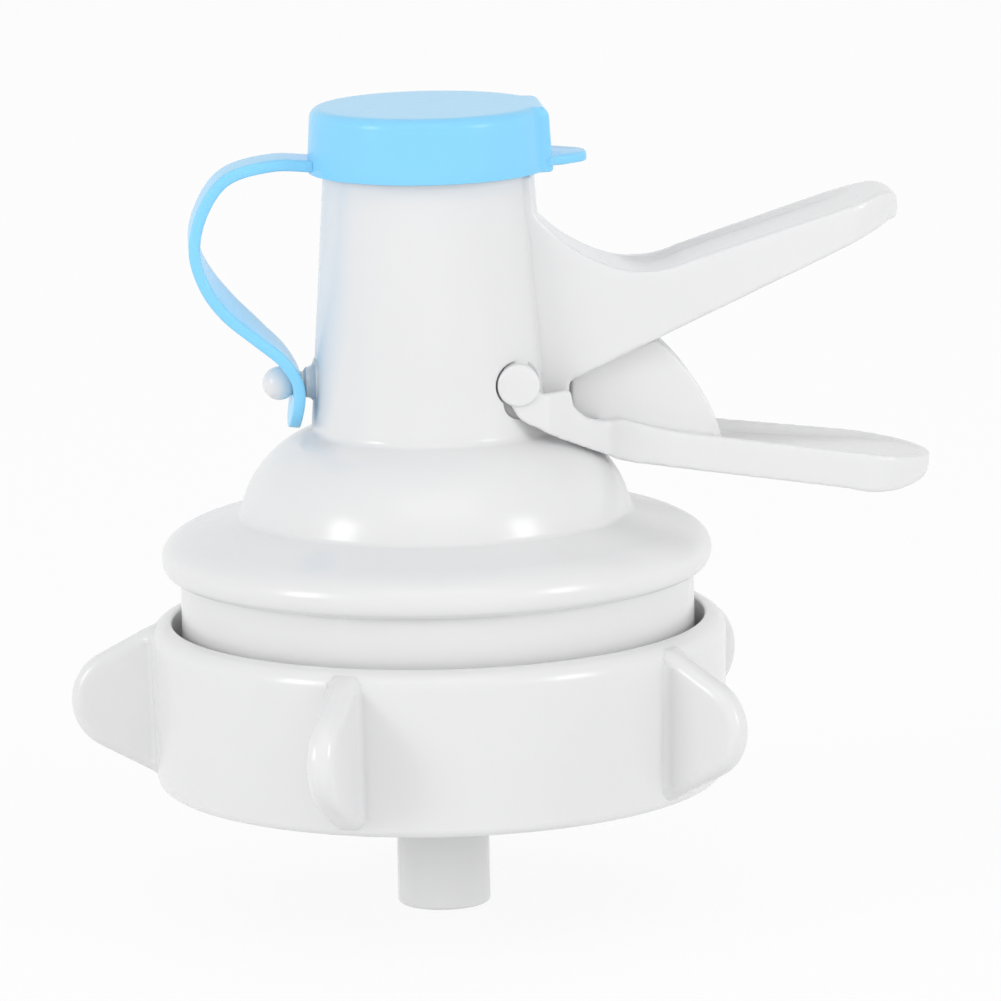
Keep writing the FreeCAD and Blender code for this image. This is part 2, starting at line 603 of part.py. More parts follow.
def stem_guide():
    """A ring, three arms and a hub that keep the stem upright and carry the spring."""
    seat = "ledge_z - 0.8"
    rim = ring("guide_rim", "guide_r", "guide_r - 1.8", seat, "guide_height")
    hub = rod("guide_hub", "stem_r + 1.4", seat, "guide_height + 0.8")
    cup = rod("guide_cup", "spring_r + 1.1", "%s + guide_height + 0.8" % seat, "1.2")
    arms = []
    for angle in (60, 180, 300):
        arm = block("guide_arm_%d" % angle, "0", "guide_r - 1", "-0.8", "0.8", seat, "%s + guide_height" % seat)
        turn_about_neck(arm, angle, 0, -0.8)
        arms.append(arm)
    body = fused("guide_body", [rim, hub, cup] + arms)
    return cut("stem_guide", body, rod("guide_bore", "stem_r + 0.06", "%s - 1" % seat, "4 * guide_height"))


def turn_about_neck(thing, angle, x, y):
    """Turn a block that starts at (x, y) about the neck's axis."""
    thing.Placement.Rotation = FreeCAD.Rotation(Vector(0, 0, 1), angle)
    cosine, sine = math.cos(math.radians(angle)), math.sin(math.radians(angle))
    place(thing, x="(%s) * %.8f - (%s) * %.8f" % (x, cosine, y, sine),
          y="(%s) * %.8f + (%s) * %.8f" % (x, sine, y, cosine))


def valve_stem():
    """The push rod from the rocker's nose down to the disc, with a shoulder for the spring cap."""
    return turned("valve_stem", [
        ("0", "stem_low_z"), ("stem_r - 0.5", "stem_low_z"), ("stem_r - 0.5", "stem_low_z + 2.9"),
        ("stem_r", "stem_low_z + 2.9"), ("stem_r", "spring_cap_z + 1.6"),
        ("stem_r + 0.9", "spring_cap_z + 1.6"), ("stem_r + 0.9", "stem_top_z - 1.6"),
        ("stem_r + 0.2", "stem_top_z - 0.5"), ("0.5", "stem_top_z"), ("0", "stem_top_z")])


def valve_disc():
    """The rubber disc that closes the seat from below."""
    return ring("valve_disc", "disc_r", "stem_r + 0.02", "washer_z", "disc_height")


def disc_washer():
    """The stiff washer under the rubber disc."""
    low = "washer_z - washer_height"
    return turned("disc_washer", [
        ("stem_r + 0.02", low), ("disc_r - 3.0", low), ("disc_r - 2.0", "washer_z - 0.2"),
        ("disc_r - 2.0", "washer_z"), ("stem_r + 0.02", "washer_z")])


def stem_clip():
    """The clip that snaps on the stem's lower neck."""
    return ring("stem_clip", "stem_r + 1.6", "stem_r - 0.48", "washer_z - washer_height - 1.2", "1.0")


def spring_cap():
    """The dished washer that the spring pushes up against the stem's head."""
    bore = "stem_r + 0.03"
    spigot = "spring_r - wire_r - 0.1"
    return turned("spring_cap", [
        (bore, "spring_cap_z + 1.6"), (bore, "spring_cap_z - 0.9"), (spigot, "spring_cap_z - 0.9"),
        (spigot, "spring_cap_z"), ("spring_r + 1.2", "spring_cap_z"),
        ("spring_r + 1.2", "spring_cap_z + 0.6"), ("stem_r + 1.6", "spring_cap_z + 1.6")])


def tube_along(points, radius):
    """A wire of six flats along points: each stretch is an arc through the point between its ends."""
    edges = []
    for index in range(0, len(points) - 2, 2):
        edges.append(Part.Arc(points[index], points[index + 1], points[index + 2]).toShape())
    path = Part.Wire(edges)
    start = path.Edges[0].tangentAt(path.Edges[0].FirstParameter)
    side = Vector(1, 0, 0)
    up = start.cross(side).normalize()
    corners = []
    for index in range(7):
        angle = math.pi * index / 3
        corners.append(points[0] + side * (radius * math.cos(angle)) + up * (radius * math.sin(angle)))
    return path.makePipeShell([Part.makePolygon(corners)], True, False)


def return_spring():
    """A coil spring between the guide's cup and the spring cap, one unbroken wire."""
    wire = val("wire_r")
    low = val("ledge_z + guide_height + 1.2") + wire + 0.02
    high = val("spring_cap_z") - wire - 0.02
    radius = val("spring_r")
    turns = int(val("spring_turns"))
    steps = 8 * turns
    points = []
    for step in range(steps + 1):
        angle = 2 * math.pi * step / 8
        share = step / steps
        points.append(Vector(radius * math.cos(angle), radius * math.sin(angle), low + (high - low) * share))
    spring = doc.addObject("Part::Feature", "return_spring")
    spring.Shape = tube_along(points, wire)
    print("spring: gap between turns %.2f" % ((high - low) / turns - 2 * wire))
    return spring


def neck_gasket():
    """The soft ring that the bottle's lip presses against."""
    return ring("neck_gasket", "crown_r - 0.4", "crown_r - 0.4 - gasket_width", "0", "gasket_height")


def grip_ring():
    """The split ring that the nut squeezes on the bottle's neck."""
    bore = "skirt_r - 0.3 - grip_width"
    top = "3 - skirt_depth"
    body = turned("grip_form", [
        (bore, "grip_z"), ("skirt_r - 0.3", "grip_z"), ("skirt_r - 0.3", "grip_z + 3.2"),
        ("crown_r - 0.3", top), (bore, top)])
    tools = []
    for index in range(12):
        slot = block("grip_slot_%d" % index, bore + " - 2", "skirt_r + 1", "-0.6", "0.6",
                     "grip_z + 2.2", top + " + 1")
        turn_about_neck(slot, 30 * index + 15, bore + " - 2", -0.6)
        tools.append(slot)
    tools.append(block("grip_split", bore + " - 2", "skirt_r + 1", "-0.8", "0.8", "grip_z - 1", top + " + 1"))
    return cut("grip_ring", body, tools)


def slip_washer():
    """The thin washer on which the nut turns under the grip ring."""
    return ring("slip_washer", "skirt_r - 0.1", "lip_r + 0.3", "slip_z", "slip_height")


def collar_nut():
    """The nut with its wings, which draws the tap down on the bottle."""
    wall = turned("nut_wall_ring", [
        ("lip_r", "nut_low_z + 0.8"), ("lip_r + 0.8", "nut_low_z"), ("nut_r - 1.6", "nut_low_z"),
        ("nut_r - 0.8", "nut_low_z + 0.3"), ("nut_r - 0.5", "nut_low_z + 1.2"),
        ("nut_r", "nut_top_z - 1.5"), ("nut_r - 0.45", "nut_top_z - 0.45"), ("nut_r - 1.5", "nut_top_z"),
        ("nut_bore_r + 0.6", "nut_top_z"), ("nut_bore_r", "nut_top_z - 0.6"),
        ("nut_bore_r", "slip_z"), ("lip_r", "slip_z")])
    count = int(val("wing_count"))
    wings = [nut_wing("wing_%d" % index, val("wing_turn") + index * 360 / count) for index in range(count)]
    return fused("collar_nut", [wall] + wings)


def nut_wing(name, angle):
    """One wing for the fingers, with bevelled edges; its root is buried in the nut's wall."""
    root = "nut_r - 0.5 * nut_wall"
    lean = "90 deg - wing_slant * 1 deg"
    arc_x = "wing_r - wing_low_r * (1 - cos(%s))" % lean
    arc_z = "wing_z - wing_low_r * sin(%s)" % lean
    body = padded(name, [
        (root, "%s - (%s - (%s)) * tan(wing_slant * 1 deg)" % (arc_z, arc_x, root)), (arc_x, arc_z),
        ("wing_r", "wing_z", "wing_r - wing_low_r * (1 - cos(0.5 * (%s)))" % lean,
         "wing_z - wing_low_r * sin(0.5 * (%s))" % lean),
        ("wing_r - wing_top_r", "wing_z + wing_top_r",
         "wing_r - wing_top_r * (1 - cos(45 deg))", "wing_z + wing_top_r * sin(45 deg)"),
        (root, "wing_z + wing_top_r")], "XZ_Plane", "wing_width")
    root_x = val(root)
    half = val("wing_width") / 2

    def runs_along(edge):
        middle = edge.valueAt(0.5 * (edge.FirstParameter + edge.LastParameter))
        return abs(abs(middle.y) - half) < 0.01 and middle.x > root_x + 0.1

    bevelled(body, name + "_edges", body.Tip, "wing_edge", runs_along)
    body.Placement = FreeCAD.Placement(Vector(), FreeCAD.Rotation(Vector(0, 0, 1), angle))
    return body


def bevelled(body, name, base, width, wanted):
    """A chamfer on the edges of a feature that a test picks."""
    doc.recompute()
    edges = ["Edge%d" % number for number, edge in enumerate(base.Shape.Edges, start=1) if wanted(edge)]
    chamfer = body.newObject("PartDesign::Chamfer", name)
    chamfer.Base = (base, edges)
    bind(chamfer, Size=width)
    body.Tip = chamfer


def spout_cap():
    """The push-on cap with a flat side and a pull tab towards the handle."""
    round_cap = turned("cap_round", [
        ("0", "cap_z"), ("cap_r", "cap_z"), ("cap_top_r + 0.05", "cap_top_z - 1.3"),
        ("cap_top_r - 0.36", "cap_top_z - 0.37"), ("cap_top_r - 1.3", "cap_top_z"), ("0", "cap_top_z")])
    pad = block("cap_pad", "0", "cap_r", "-pad_half", "pad_half", "cap_z", "cap_top_z - 0.9")
    tab = padded("cap_tab", mirrored_corners([
        ("0.5 * cap_r", "pad_half"), ("cap_r", "pad_half"),
        ("cap_r + 1.4", "pad_half - 1.7", "cap_r + 0.3", "pad_half - 1.1"),
        ("tab_x - 0.8", "pad_half - 3.7"), ("tab_x", "0", "tab_x - 0.2", "0.5 * pad_half - 1.35")]),
        "XY_Plane", "tab_height")
    place(tab, z="cap_z + 0.3 + 0.5 * tab_height")
    whole = fused("cap_whole", [round_cap, pad, tab])
    hollow = cut("cap_hollow", whole, rod("cap_inside", "rim_r + cap_play", "cap_z - 1", "cap_roof_z - cap_z + 1"))
    plug = ring("cap_plug", "rim_r - neck_wall - 0.25", "rim_r - neck_wall - 1.6",
                "rim_z - plug_depth", "cap_roof_z - rim_z + plug_depth + 0.2")
    return fused("spout_cap", [hollow, plug])


def cap_liner():
    """The soft disc inside the cap."""
    return rod("cap_liner", "rim_r - neck_wall - 1.7", "cap_roof_z - 0.9", "0.9")


def strap_line():
    """The middle line of the strap from the cap to its loose end below the button."""
    cap_x, cap_z = -val("cap_r") - 0.15, val("cap_z") + 1.2
    eye_x, eye_z = -val("eye_x"), val("button_z")
    drop = cap_z - eye_z
    bow = val("strap_bow")
    return [
        Vector(cap_x, 0, cap_z), Vector(cap_x - 0.31 * bow, 0, cap_z + 0.2),
        Vector(cap_x - 0.73 * bow, 0, cap_z - 0.107 * bow), Vector(cap_x - 0.95 * bow, 0, cap_z - 0.22 * drop),
        Vector(cap_x - bow, 0, cap_z - 0.38 * drop), Vector(eye_x - 0.775 * bow, 0, cap_z - 0.52 * drop),
        Vector(eye_x - 0.596 * bow, 0, eye_z + 0.355 * drop),
        Vector(eye_x - 0.346 * bow, 0, eye_z + 0.234 * drop),
        Vector(eye_x - 0.114 * bow, 0, eye_z + 0.118 * drop), Vector(eye_x, 0, eye_z),
        Vector(eye_x - 0.04 * bow, 0, eye_z - val("strap_tail"))]


def cap_strap():
    """The bowed band that ties the cap to the button, with the eye that snaps over its ball."""
    line = Part.BSplineCurve()
    line.interpolate(strap_line())
    half = val("strap_height") / 2
    sides = []
    for sign in (1, -1):
        points = []
        for index in range(25):
            t = line.FirstParameter + (line.LastParameter - line.FirstParameter) * index / 24
            along = line.tangent(t)[0]
            points.append(line.value(t) + Vector(-along.z, 0, along.x) * (sign * half))
        side = Part.BSplineCurve()
        side.interpolate(points)
        sides.append((side, points))
    (left, left_points), (right, right_points) = sides
    outline = Part.Wire([left.toShape(), Part.LineSegment(left_points[-1], right_points[-1]).toShape(),
                         right.toShape(), Part.LineSegment(right_points[0], left_points[0]).toShape()])
    width = val("strap_width")
    band = doc.addObject("Part::Feature", "strap_band")
    band.Shape = Part.Face(outline).extrude(Vector(0, 2 * width, 0))
    band.Placement.Base.y = -width
    front = padded("strap_front", [
        ("-0.5 * strap_neck", "cap_top_z"), ("-0.5 * strap_neck", "cap_z - 2"),
        ("-0.5 * strap_width", "button_z + 9"), ("-0.5 * strap_width", "button_z - 2"),
        ("0.5 * strap_width", "button_z - 2", "0", "button_z - 5.3"),
        ("0.5 * strap_width", "button_z + 9"), ("0.5 * strap_neck", "cap_z - 2"),
        ("0.5 * strap_neck", "cap_top_z")], "YZ_Plane", "8 * button_x")
    ball = doc.addObject("Part::Sphere", "strap_ball_room")
    bind(ball, Radius="button_r + 0.15")
    place(ball, x="-button_x", z="button_z")
    hole = rod("strap_eye", "post_r + 0.1", "-foot_r", "button_reach", "-x", 0, 0, "button_z")
    return cut("cap_strap", common("strap_form", band, front), [hole, ball])


def build():
    parts = [
        spout_housing(), seat_plate(), plate_seal(), neck_gasket(), stem_guide(), valve_chamber(),
        feed_tube(), axle_seal("axle_seal_near", "-"), axle_seal("axle_seal_far", ""),
        trigger_lever(), pivot_axle(), axle_clip(), rocker(),
        valve_stem(), valve_disc(), disc_washer(), stem_clip(), spring_cap(), return_spring(),
        grip_ring(), slip_washer(), collar_nut(), spout_cap(), cap_liner(), cap_strap()]
    for part in parts:
        part.Label = part.Name
    doc.recompute()
    return parts


def check_and_write(parts):
    for thing in doc.Objects:
        if "Invalid" in thing.State or "Error" in thing.State:
            raise RuntimeError("%s failed: %s" % (thing.Name, thing.State))
    os.makedirs("parts", exist_ok=True)
    for part in parts:
        shape = part.Shape
        if shape.isNull() or not shape.isValid() or not shape.Solids:
            raise RuntimeError("%s has no valid solid" % part.Label)
        box = shape.BoundBox
        print("%-16s solids %d volume %9.1f  z %6.1f to %6.1f  x %6.1f to %6.1f" % (
            part.Label, len(shape.Solids), shape.Volume, box.ZMin, box.ZMax, box.XMin, box.XMax))
        shape.exportStep("parts/%s.step" % part.Label)


check_and_write(build())
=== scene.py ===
"""Pour tap for a large water bottle: milky mouldings, a sky blue cap on its strap, in a plain white studio."""
import bmesh
import bpy
import math
from mathutils import Matrix, Vector


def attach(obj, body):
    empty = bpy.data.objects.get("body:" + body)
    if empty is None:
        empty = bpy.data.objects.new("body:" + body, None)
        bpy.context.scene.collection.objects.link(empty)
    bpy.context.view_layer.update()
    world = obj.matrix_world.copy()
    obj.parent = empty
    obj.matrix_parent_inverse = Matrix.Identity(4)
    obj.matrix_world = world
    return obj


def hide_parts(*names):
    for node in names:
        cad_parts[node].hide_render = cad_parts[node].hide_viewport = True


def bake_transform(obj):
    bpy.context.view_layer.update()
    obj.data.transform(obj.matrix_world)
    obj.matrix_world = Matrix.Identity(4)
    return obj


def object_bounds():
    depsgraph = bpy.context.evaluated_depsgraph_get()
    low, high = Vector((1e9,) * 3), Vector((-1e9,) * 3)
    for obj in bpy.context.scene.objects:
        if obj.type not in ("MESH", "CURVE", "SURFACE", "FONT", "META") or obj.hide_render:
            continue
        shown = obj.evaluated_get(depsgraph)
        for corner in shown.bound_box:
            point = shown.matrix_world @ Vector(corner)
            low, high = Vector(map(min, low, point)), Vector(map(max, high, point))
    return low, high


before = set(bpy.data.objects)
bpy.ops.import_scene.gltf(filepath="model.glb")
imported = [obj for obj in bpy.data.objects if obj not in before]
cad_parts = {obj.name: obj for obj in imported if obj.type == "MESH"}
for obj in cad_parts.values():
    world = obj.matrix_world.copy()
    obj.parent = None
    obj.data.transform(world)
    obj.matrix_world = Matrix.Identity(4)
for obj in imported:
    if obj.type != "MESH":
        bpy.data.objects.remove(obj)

CAD_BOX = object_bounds()

# STUDIO
# A pale sweep under soft lamps. The tap stands on its feed tube, as in a catalogue picture.
# The camera looks almost along +Y and eleven degrees down, with a slight roll.
scene = bpy.context.scene
AZIMUTH = math.radians(-5.0)
ELEVATION = math.radians(10.6)
ROLL = math.radians(-1.2)
DISTANCE = 0.905
LENS, SENSOR, FAR_END = 261.5, 36.0, 20.0
LOOK_AT = Vector((0.0081, 0.0, 0.0127))


def camera():
    """A long lens on the studio's stand, turned by azimuth and elevation round the point it looks at."""
    data = bpy.data.cameras.new("studio_camera")
    data.lens = LENS
    data.sensor_width = SENSOR
    data.clip_end = FAR_END
    obj = bpy.data.objects.new("studio_camera", data)
    scene.collection.objects.link(obj)
    back = Vector((math.sin(AZIMUTH) * math.cos(ELEVATION), -math.cos(AZIMUTH) * math.cos(ELEVATION),
                   math.sin(ELEVATION)))
    obj.location = LOOK_AT + back * DISTANCE
    look = (-back).to_track_quat("-Z", "Y").to_matrix().to_4x4()
    obj.matrix_world = Matrix.Translation(obj.location) @ look @ Matrix.Rotation(ROLL, 4, "Z")
    scene.camera = obj


camera()

FLOOR_HALF, FLOOR_DROP, FLOOR_GLOW = 6, 0.0003, 0.9
FLOOR_TINT, FLOOR_ROUGH = (0.95, 0.95, 0.95, 1.0), 0.9


def blank_material(name):
    """A material with its node tree and its Principled shader."""
    material = bpy.data.materials.new(name)
    material.use_nodes = True
    return material, material.node_tree, material.node_tree.nodes["Principled BSDF"]


def white_for_the_camera(tree, lit, seen, output):
    """Show one shader to camera, glossy and transmission rays and light the object with the other."""
    path = tree.nodes.new("ShaderNodeLightPath")
    both = tree.nodes.new("ShaderNodeMath")
    both.operation = "ADD"
    any_ray = tree.nodes.new("ShaderNodeMath")
    any_ray.operation = "ADD"
    any_ray.use_clamp = True
    mix = tree.nodes.new("ShaderNodeMixShader")
    tree.links.new(path.outputs["Is Camera Ray"], both.inputs[0])
    tree.links.new(path.outputs["Is Glossy Ray"], both.inputs[1])
    tree.links.new(both.outputs[0], any_ray.inputs[0])
    tree.links.new(path.outputs["Is Transmission Ray"], any_ray.inputs[1])
    tree.links.new(any_ray.outputs[0], mix.inputs[0])
    tree.links.new(lit, mix.inputs[1])
    tree.links.new(seen, mix.inputs[2])
    tree.links.new(mix.outputs[0], output)


def studio_floor():
    """A wide floor just below the tap: nearly white to the camera, with the tap's soft shadow kept."""
    mesh = bpy.data.meshes.new("studio_floor")
    low = CAD_BOX[0][2] - FLOOR_DROP
    corners = [(x * FLOOR_HALF, y * FLOOR_HALF, low) for x, y in ((-1, -1), (1, -1), (1, 1), (-1, 1))]
    mesh.from_pydata(corners, [], [(0, 1, 2, 3)])
    obj = bpy.data.objects.new("studio_floor", mesh)
    scene.collection.objects.link(obj)
    material, tree, shader = blank_material("floor_white")
    shader.inputs["Base Color"].default_value = FLOOR_TINT
    shader.inputs["Roughness"].default_value = FLOOR_ROUGH
    glow = tree.nodes.new("ShaderNodeEmission")
    glow.inputs["Color"].default_value = (1, 1, 1, 1)
    bright = tree.nodes.new("ShaderNodeMixShader")
    bright.inputs[0].default_value = FLOOR_GLOW
    tree.links.new(shader.outputs[0], bright.inputs[1])
    tree.links.new(glow.outputs[0], bright.inputs[2])
    white_for_the_camera(tree, shader.outputs[0], bright.outputs[0], tree.nodes["Material Output"].inputs["Surface"])
    mesh.materials.append(material)


studio_floor()

LAMP_TARGET = Vector((0, 0, 0.01))


def lamp(name, place, size, power):
    """A rectangular soft box that faces the tap."""
    data = bpy.data.lights.new(name, "AREA")
    data.shape = "RECTANGLE"
    data.size, data.size_y = size
    data.energy = power
    obj = bpy.data.objects.new(name, data)
    scene.collection.objects.link(obj)
    obj.location = place
    obj.rotation_euler = (LAMP_TARGET - Vector(place)).to_track_quat("-Z", "Y").to_euler()


lamp("lamp_left", (-1.15, -0.6, 0.42), (0.35, 0.5), 3.7)
lamp("lamp_right", (0.98, -0.83, 0.4), (0.35, 0.5), 3.4)
lamp("lamp_front", (-0.05, -0.75, 1.0), (0.9, 0.6), 1.3)

SKY_LOW, SKY_HIGH = 1.0, 0.55


def studio_world():
    """Light from all round, strongest at the horizon; the camera sees plain white."""
    world = bpy.data.worlds.new("studio")
    world.use_nodes = True
    tree = world.node_tree
    soft = tree.nodes["Background"]
    soft.inputs["Color"].default_value = (1, 1, 1, 1)
    place = tree.nodes.new("ShaderNodeTexCoord")
    split = tree.nodes.new("ShaderNodeSeparateXYZ")
    fall = tree.nodes.new("ShaderNodeMapRange")
    fall.inputs["To Min"].default_value = SKY_LOW
    fall.inputs["To Max"].default_value = SKY_HIGH
    tree.links.new(place.outputs["Generated"], split.inputs[0])
    tree.links.new(split.outputs["Z"], fall.inputs["Value"])
    tree.links.new(fall.outputs["Result"], soft.inputs["Strength"])
    seen = tree.nodes.new("ShaderNodeBackground")
    seen.inputs["Color"].default_value = (1, 1, 1, 1)
    white_for_the_camera(tree, soft.outputs[0], seen.outputs[0], tree.nodes["World Output"].inputs["Surface"])
    scene.world = world


studio_world()
scene.view_settings.view_transform = "Standard"

# SPOUT
# Neck, dome, brim and skirt are one shell of milky polypropylene, moulded together with the handle.
# It follows the bottle's crown below; the trigger's eyes sit in round pockets pressed into its neck.
SKIRT_LOW, SKIRT_R = -11.0, 31.95
UNDER_Z, UNDER_MIDDLE = 4.5, (33.5, 4.95)
BRIM_R, BRIM_Z = 34.2, 6.4
BRIM_SHOULDER, BRIM_TOP = (33.45, 8.55), (30.6, 10.15)
CREASE_R, CREASE_Z = 24.4, 11.9
DOME_MIDDLE, DOME_INSIDE = (21.64, 17.945), (19.54, 16.36)
CREASE_ROUND, FOOT_ROUND = 0.9, 1.0
FOOT_R, FOOT_Z = 15.2, 22.4
RIM_R, RIM_Z = 13.2, 60.5
NECK_TOP_R, NECK_TOP_Z = 13.05, 53.8
WALL, INNER_FOOT_Z, INNER_CREASE_Z = 2.4, FOOT_Z - 1.8, CREASE_Z - 1.9
ROOF_R, ROOF_Z = 26.2, 9.5
CROWN_R, LEDGE_Z = 28.6, 5.0
PIVOT_X, PIVOT_Z = 9.5, 29.3
AXLE_R, BORE_R = 1.6, 1.6 + 0.05
BOSS_R, BOSS_OUT, BOSS_IN = 2.5, 11.15, 8.3
POCKET_R, POCKET_REACH = 2.85, 8
ARM_POCKET_R, ARM_POCKET_X, ARM_POCKET_Z = 2.2, PIVOT_X + 0.3, PIVOT_Z - 2.21


def detail_group():
    """Faint cloudiness, uneven gloss and a ripple, as injection moulding leaves them."""
    group = bpy.data.node_groups.new("moulding_detail", "ShaderNodeTree")
    face = group.interface
    for name, kind, way in (("Tint", "NodeSocketColor", "INPUT"), ("Clouding", "NodeSocketFloat", "INPUT"),
                            ("Gloss", "NodeSocketFloat", "INPUT"), ("Grain", "NodeSocketFloat", "INPUT"),
                            ("Color", "NodeSocketColor", "OUTPUT"), ("Roughness", "NodeSocketFloat", "OUTPUT"),
                            ("Height", "NodeSocketFloat", "OUTPUT")):
        face.new_socket(name=name, in_out=way, socket_type=kind)
    nodes, links = group.nodes, group.links
    start, end = nodes.new("NodeGroupInput"), nodes.new("NodeGroupOutput")
    place = nodes.new("ShaderNodeTexCoord")
    clouds = nodes.new("ShaderNodeTexNoise")
    clouds.inputs["Scale"].default_value = 42.0
    clouds.inputs["Detail"].default_value = 3.0
    fine = nodes.new("ShaderNodeTexNoise")
    fine.inputs["Detail"].default_value = 4.0
    links.new(place.outputs["Object"], clouds.inputs["Vector"])
    links.new(place.outputs["Object"], fine.inputs["Vector"])
    links.new(start.outputs["Grain"], fine.inputs["Scale"])
    shade = nodes.new("ShaderNodeMapRange")
    shade.inputs["From Min"].default_value = 0.3
    shade.inputs["From Max"].default_value = 0.7
    shade.inputs["To Max"].default_value = 1.0
    dim = nodes.new("ShaderNodeMath")
    dim.operation = "SUBTRACT"
    dim.inputs[0].default_value = 1.0
    links.new(start.outputs["Clouding"], dim.inputs[1])
    links.new(dim.outputs[0], shade.inputs["To Min"])
    links.new(clouds.outputs["Fac"], shade.inputs["Value"])
    tinted = nodes.new("ShaderNodeVectorMath")
    tinted.operation = "SCALE"
    links.new(start.outputs["Tint"], tinted.inputs[0])
    links.new(shade.outputs["Result"], tinted.inputs["Scale"])
    links.new(tinted.outputs["Vector"], end.inputs["Color"])
    gloss = nodes.new("ShaderNodeMath")
    gloss.operation = "MULTIPLY_ADD"
    gloss.inputs[1].default_value = 0.12
    links.new(fine.outputs["Fac"], gloss.inputs[0])
    links.new(start.outputs["Gloss"], gloss.inputs[2])
    links.new(gloss.outputs[0], end.inputs["Roughness"])
    links.new(fine.outputs["Fac"], end.inputs["Height"])
    return group


MOULDING_DETAIL = detail_group()


def finish(name, tint, gloss, clouding=0.03, grain=900.0, ripple=0.02, milky=0.0, metallic=0.0, shine=0.5):
    """A material of the tap: its colour, its gloss, and the marks that its making leaves."""
    material, tree, shader = blank_material(name)
    detail = tree.nodes.new("ShaderNodeGroup")
    detail.node_tree = MOULDING_DETAIL
    detail.inputs["Tint"].default_value = (*tint, 1.0)
    detail.inputs["Clouding"].default_value = clouding
    detail.inputs["Gloss"].default_value = gloss
    detail.inputs["Grain"].default_value = grain
    bump = tree.nodes.new("ShaderNodeBump")
    bump.inputs["Strength"].default_value = ripple
    bump.inputs["Distance"].default_value = 0.0005
    tree.links.new(detail.outputs["Height"], bump.inputs["Height"])
    tree.links.new(detail.outputs["Color"], shader.inputs["Base Color"])
    tree.links.new(detail.outputs["Roughness"], shader.inputs["Roughness"])
    tree.links.new(bump.outputs["Normal"], shader.inputs["Normal"])
    shader.inputs["Metallic"].default_value = metallic
    shader.inputs["Specular IOR Level"].default_value = shine
    if milky:
        shader.inputs["Subsurface Weight"].default_value = milky
        shader.inputs["Subsurface Radius"].default_value = (1.0, 0.95, 0.9)
        shader.inputs["Subsurface Scale"].default_value = 0.002
    return material


MILKY_WHITE = finish("milky_white", (0.79, 0.79, 0.795), 0.16, clouding=0.025, milky=0.12)


def parabola(start, middle, end, runs):
    """Points of a round stretch through three points, the first left out."""
    points = []
    for step in range(1, runs + 1):
        t = step / runs
        weights = (1 - t) * (1 - 2 * t), 4 * t * (1 - t), t * (2 * t - 1)
        points.append(tuple(sum(w * p[axis] for w, p in zip(weights, (start, middle, end))) for axis in (0, 1)))
    return points


def arc(start, middle, end, runs):
    """Points of the circle through three points, the first left out."""
    (ax, ay), (bx, by), (cx, cy) = start, middle, end
    d = 2 * (ax * (by - cy) + bx * (cy - ay) + cx * (ay - by))
    ux = ((ax * ax + ay * ay) * (by - cy) + (bx * bx + by * by) * (cy - ay) + (cx * cx + cy * cy) * (ay - by)) / d
    uy = ((ax * ax + ay * ay) * (cx - bx) + (bx * bx + by * by) * (ax - cx) + (cx * cx + cy * cy) * (bx - ax)) / d
    radius = math.hypot(ax - ux, ay - uy)
    first, half, last = (math.atan2(y - uy, x - ux) for x, y in (start, middle, end))
    sweep = (last - first) % math.tau
    if (half - first) % math.tau > sweep:
        sweep -= math.tau
    return [(ux + radius * math.cos(first + sweep * n / runs), uy + radius * math.sin(first + sweep * n / runs))
            for n in range(1, runs + 1)]


def rounded(corners, steps=6):
    """An outline whose corners (u, v, radius) are rounded; a corner (u, v) stays as it is."""
    points = []
    count = len(corners)
    for index, corner in enumerate(corners):
        here = Vector(corner[:2])
        if len(corner) == 2:
            points.append(tuple(here))
            continue
        back = (Vector(corners[index - 1][:2]) - here).normalized()
        ahead = (Vector(corners[(index + 1) % count][:2]) - here).normalized()
        half = 0.5 * math.acos(max(-1.0, min(1.0, back.dot(ahead))))
        reach = corner[2] / math.tan(half)
        centre = here + (back + ahead).normalized() * (corner[2] / math.sin(half))
        first, last = here + back * reach - centre, here + ahead * reach - centre
        turn = math.atan2(first.x * last.y - first.y * last.x, first.dot(last))
        for step in range(steps + 1):
            points.append(tuple(centre + Matrix.Rotation(turn * step / steps, 2) @ first))
    return points


def piece(name, points, faces, material, sharp=35.0):
    """An object from points in millimetres, smooth except where it folds more than sharp degrees."""
    mesh = bpy.data.meshes.new(name)
    mesh.from_pydata([tuple(0.001 * value for value in point) for point in points], [], faces)
    obj = bpy.data.objects.new(name, mesh)
    scene.collection.objects.link(obj)
    clean = bmesh.new()
    clean.from_mesh(mesh)
    bmesh.ops.remove_doubles(clean, verts=clean.verts, dist=1e-7)
    bmesh.ops.dissolve_degenerate(clean, edges=clean.edges, dist=1e-8)
    bmesh.ops.recalc_face_normals(clean, faces=clean.faces)
    clean.to_mesh(mesh)
    clean.free()
    mesh.materials.append(material)
    smooth(obj, sharp)
    return obj


def smooth(obj, sharp=35.0):
    """Shade a piece smooth, with hard edges where it folds more than sharp degrees."""
    obj.data.shade_smooth()
    obj.data.set_sharp_from_angle(angle=math.radians(sharp))


def turned(name, outline, material, segments=144, axis="z", centre=(0, 0, 0), sharp=35.0):
    """A turned form from a closed (radius, height) outline, about an axis through a centre."""
    stand = {"z": Matrix.Identity(3), "y": Matrix(((1, 0, 0), (0, 0, 1), (0, 1, 0))),
             "-x": Matrix(((0, 0, -1), (0, 1, 0), (1, 0, 0)))}[axis]
    points, faces = [], []
    count = len(outline)
    for segment in range(segments):
        angle = math.tau * segment / segments
        for radius, height in outline:
            points.append(stand @ Vector((radius * math.cos(angle), radius * math.sin(angle), height)) + Vector(centre))
    for segment in range(segments):
        here, after = segment * count, (segment + 1) % segments * count
        for index in range(count):
            ahead = (index + 1) % count
            faces.append((here + index, here + ahead, after + ahead, after + index))
    return piece(name, points, faces, material, sharp)


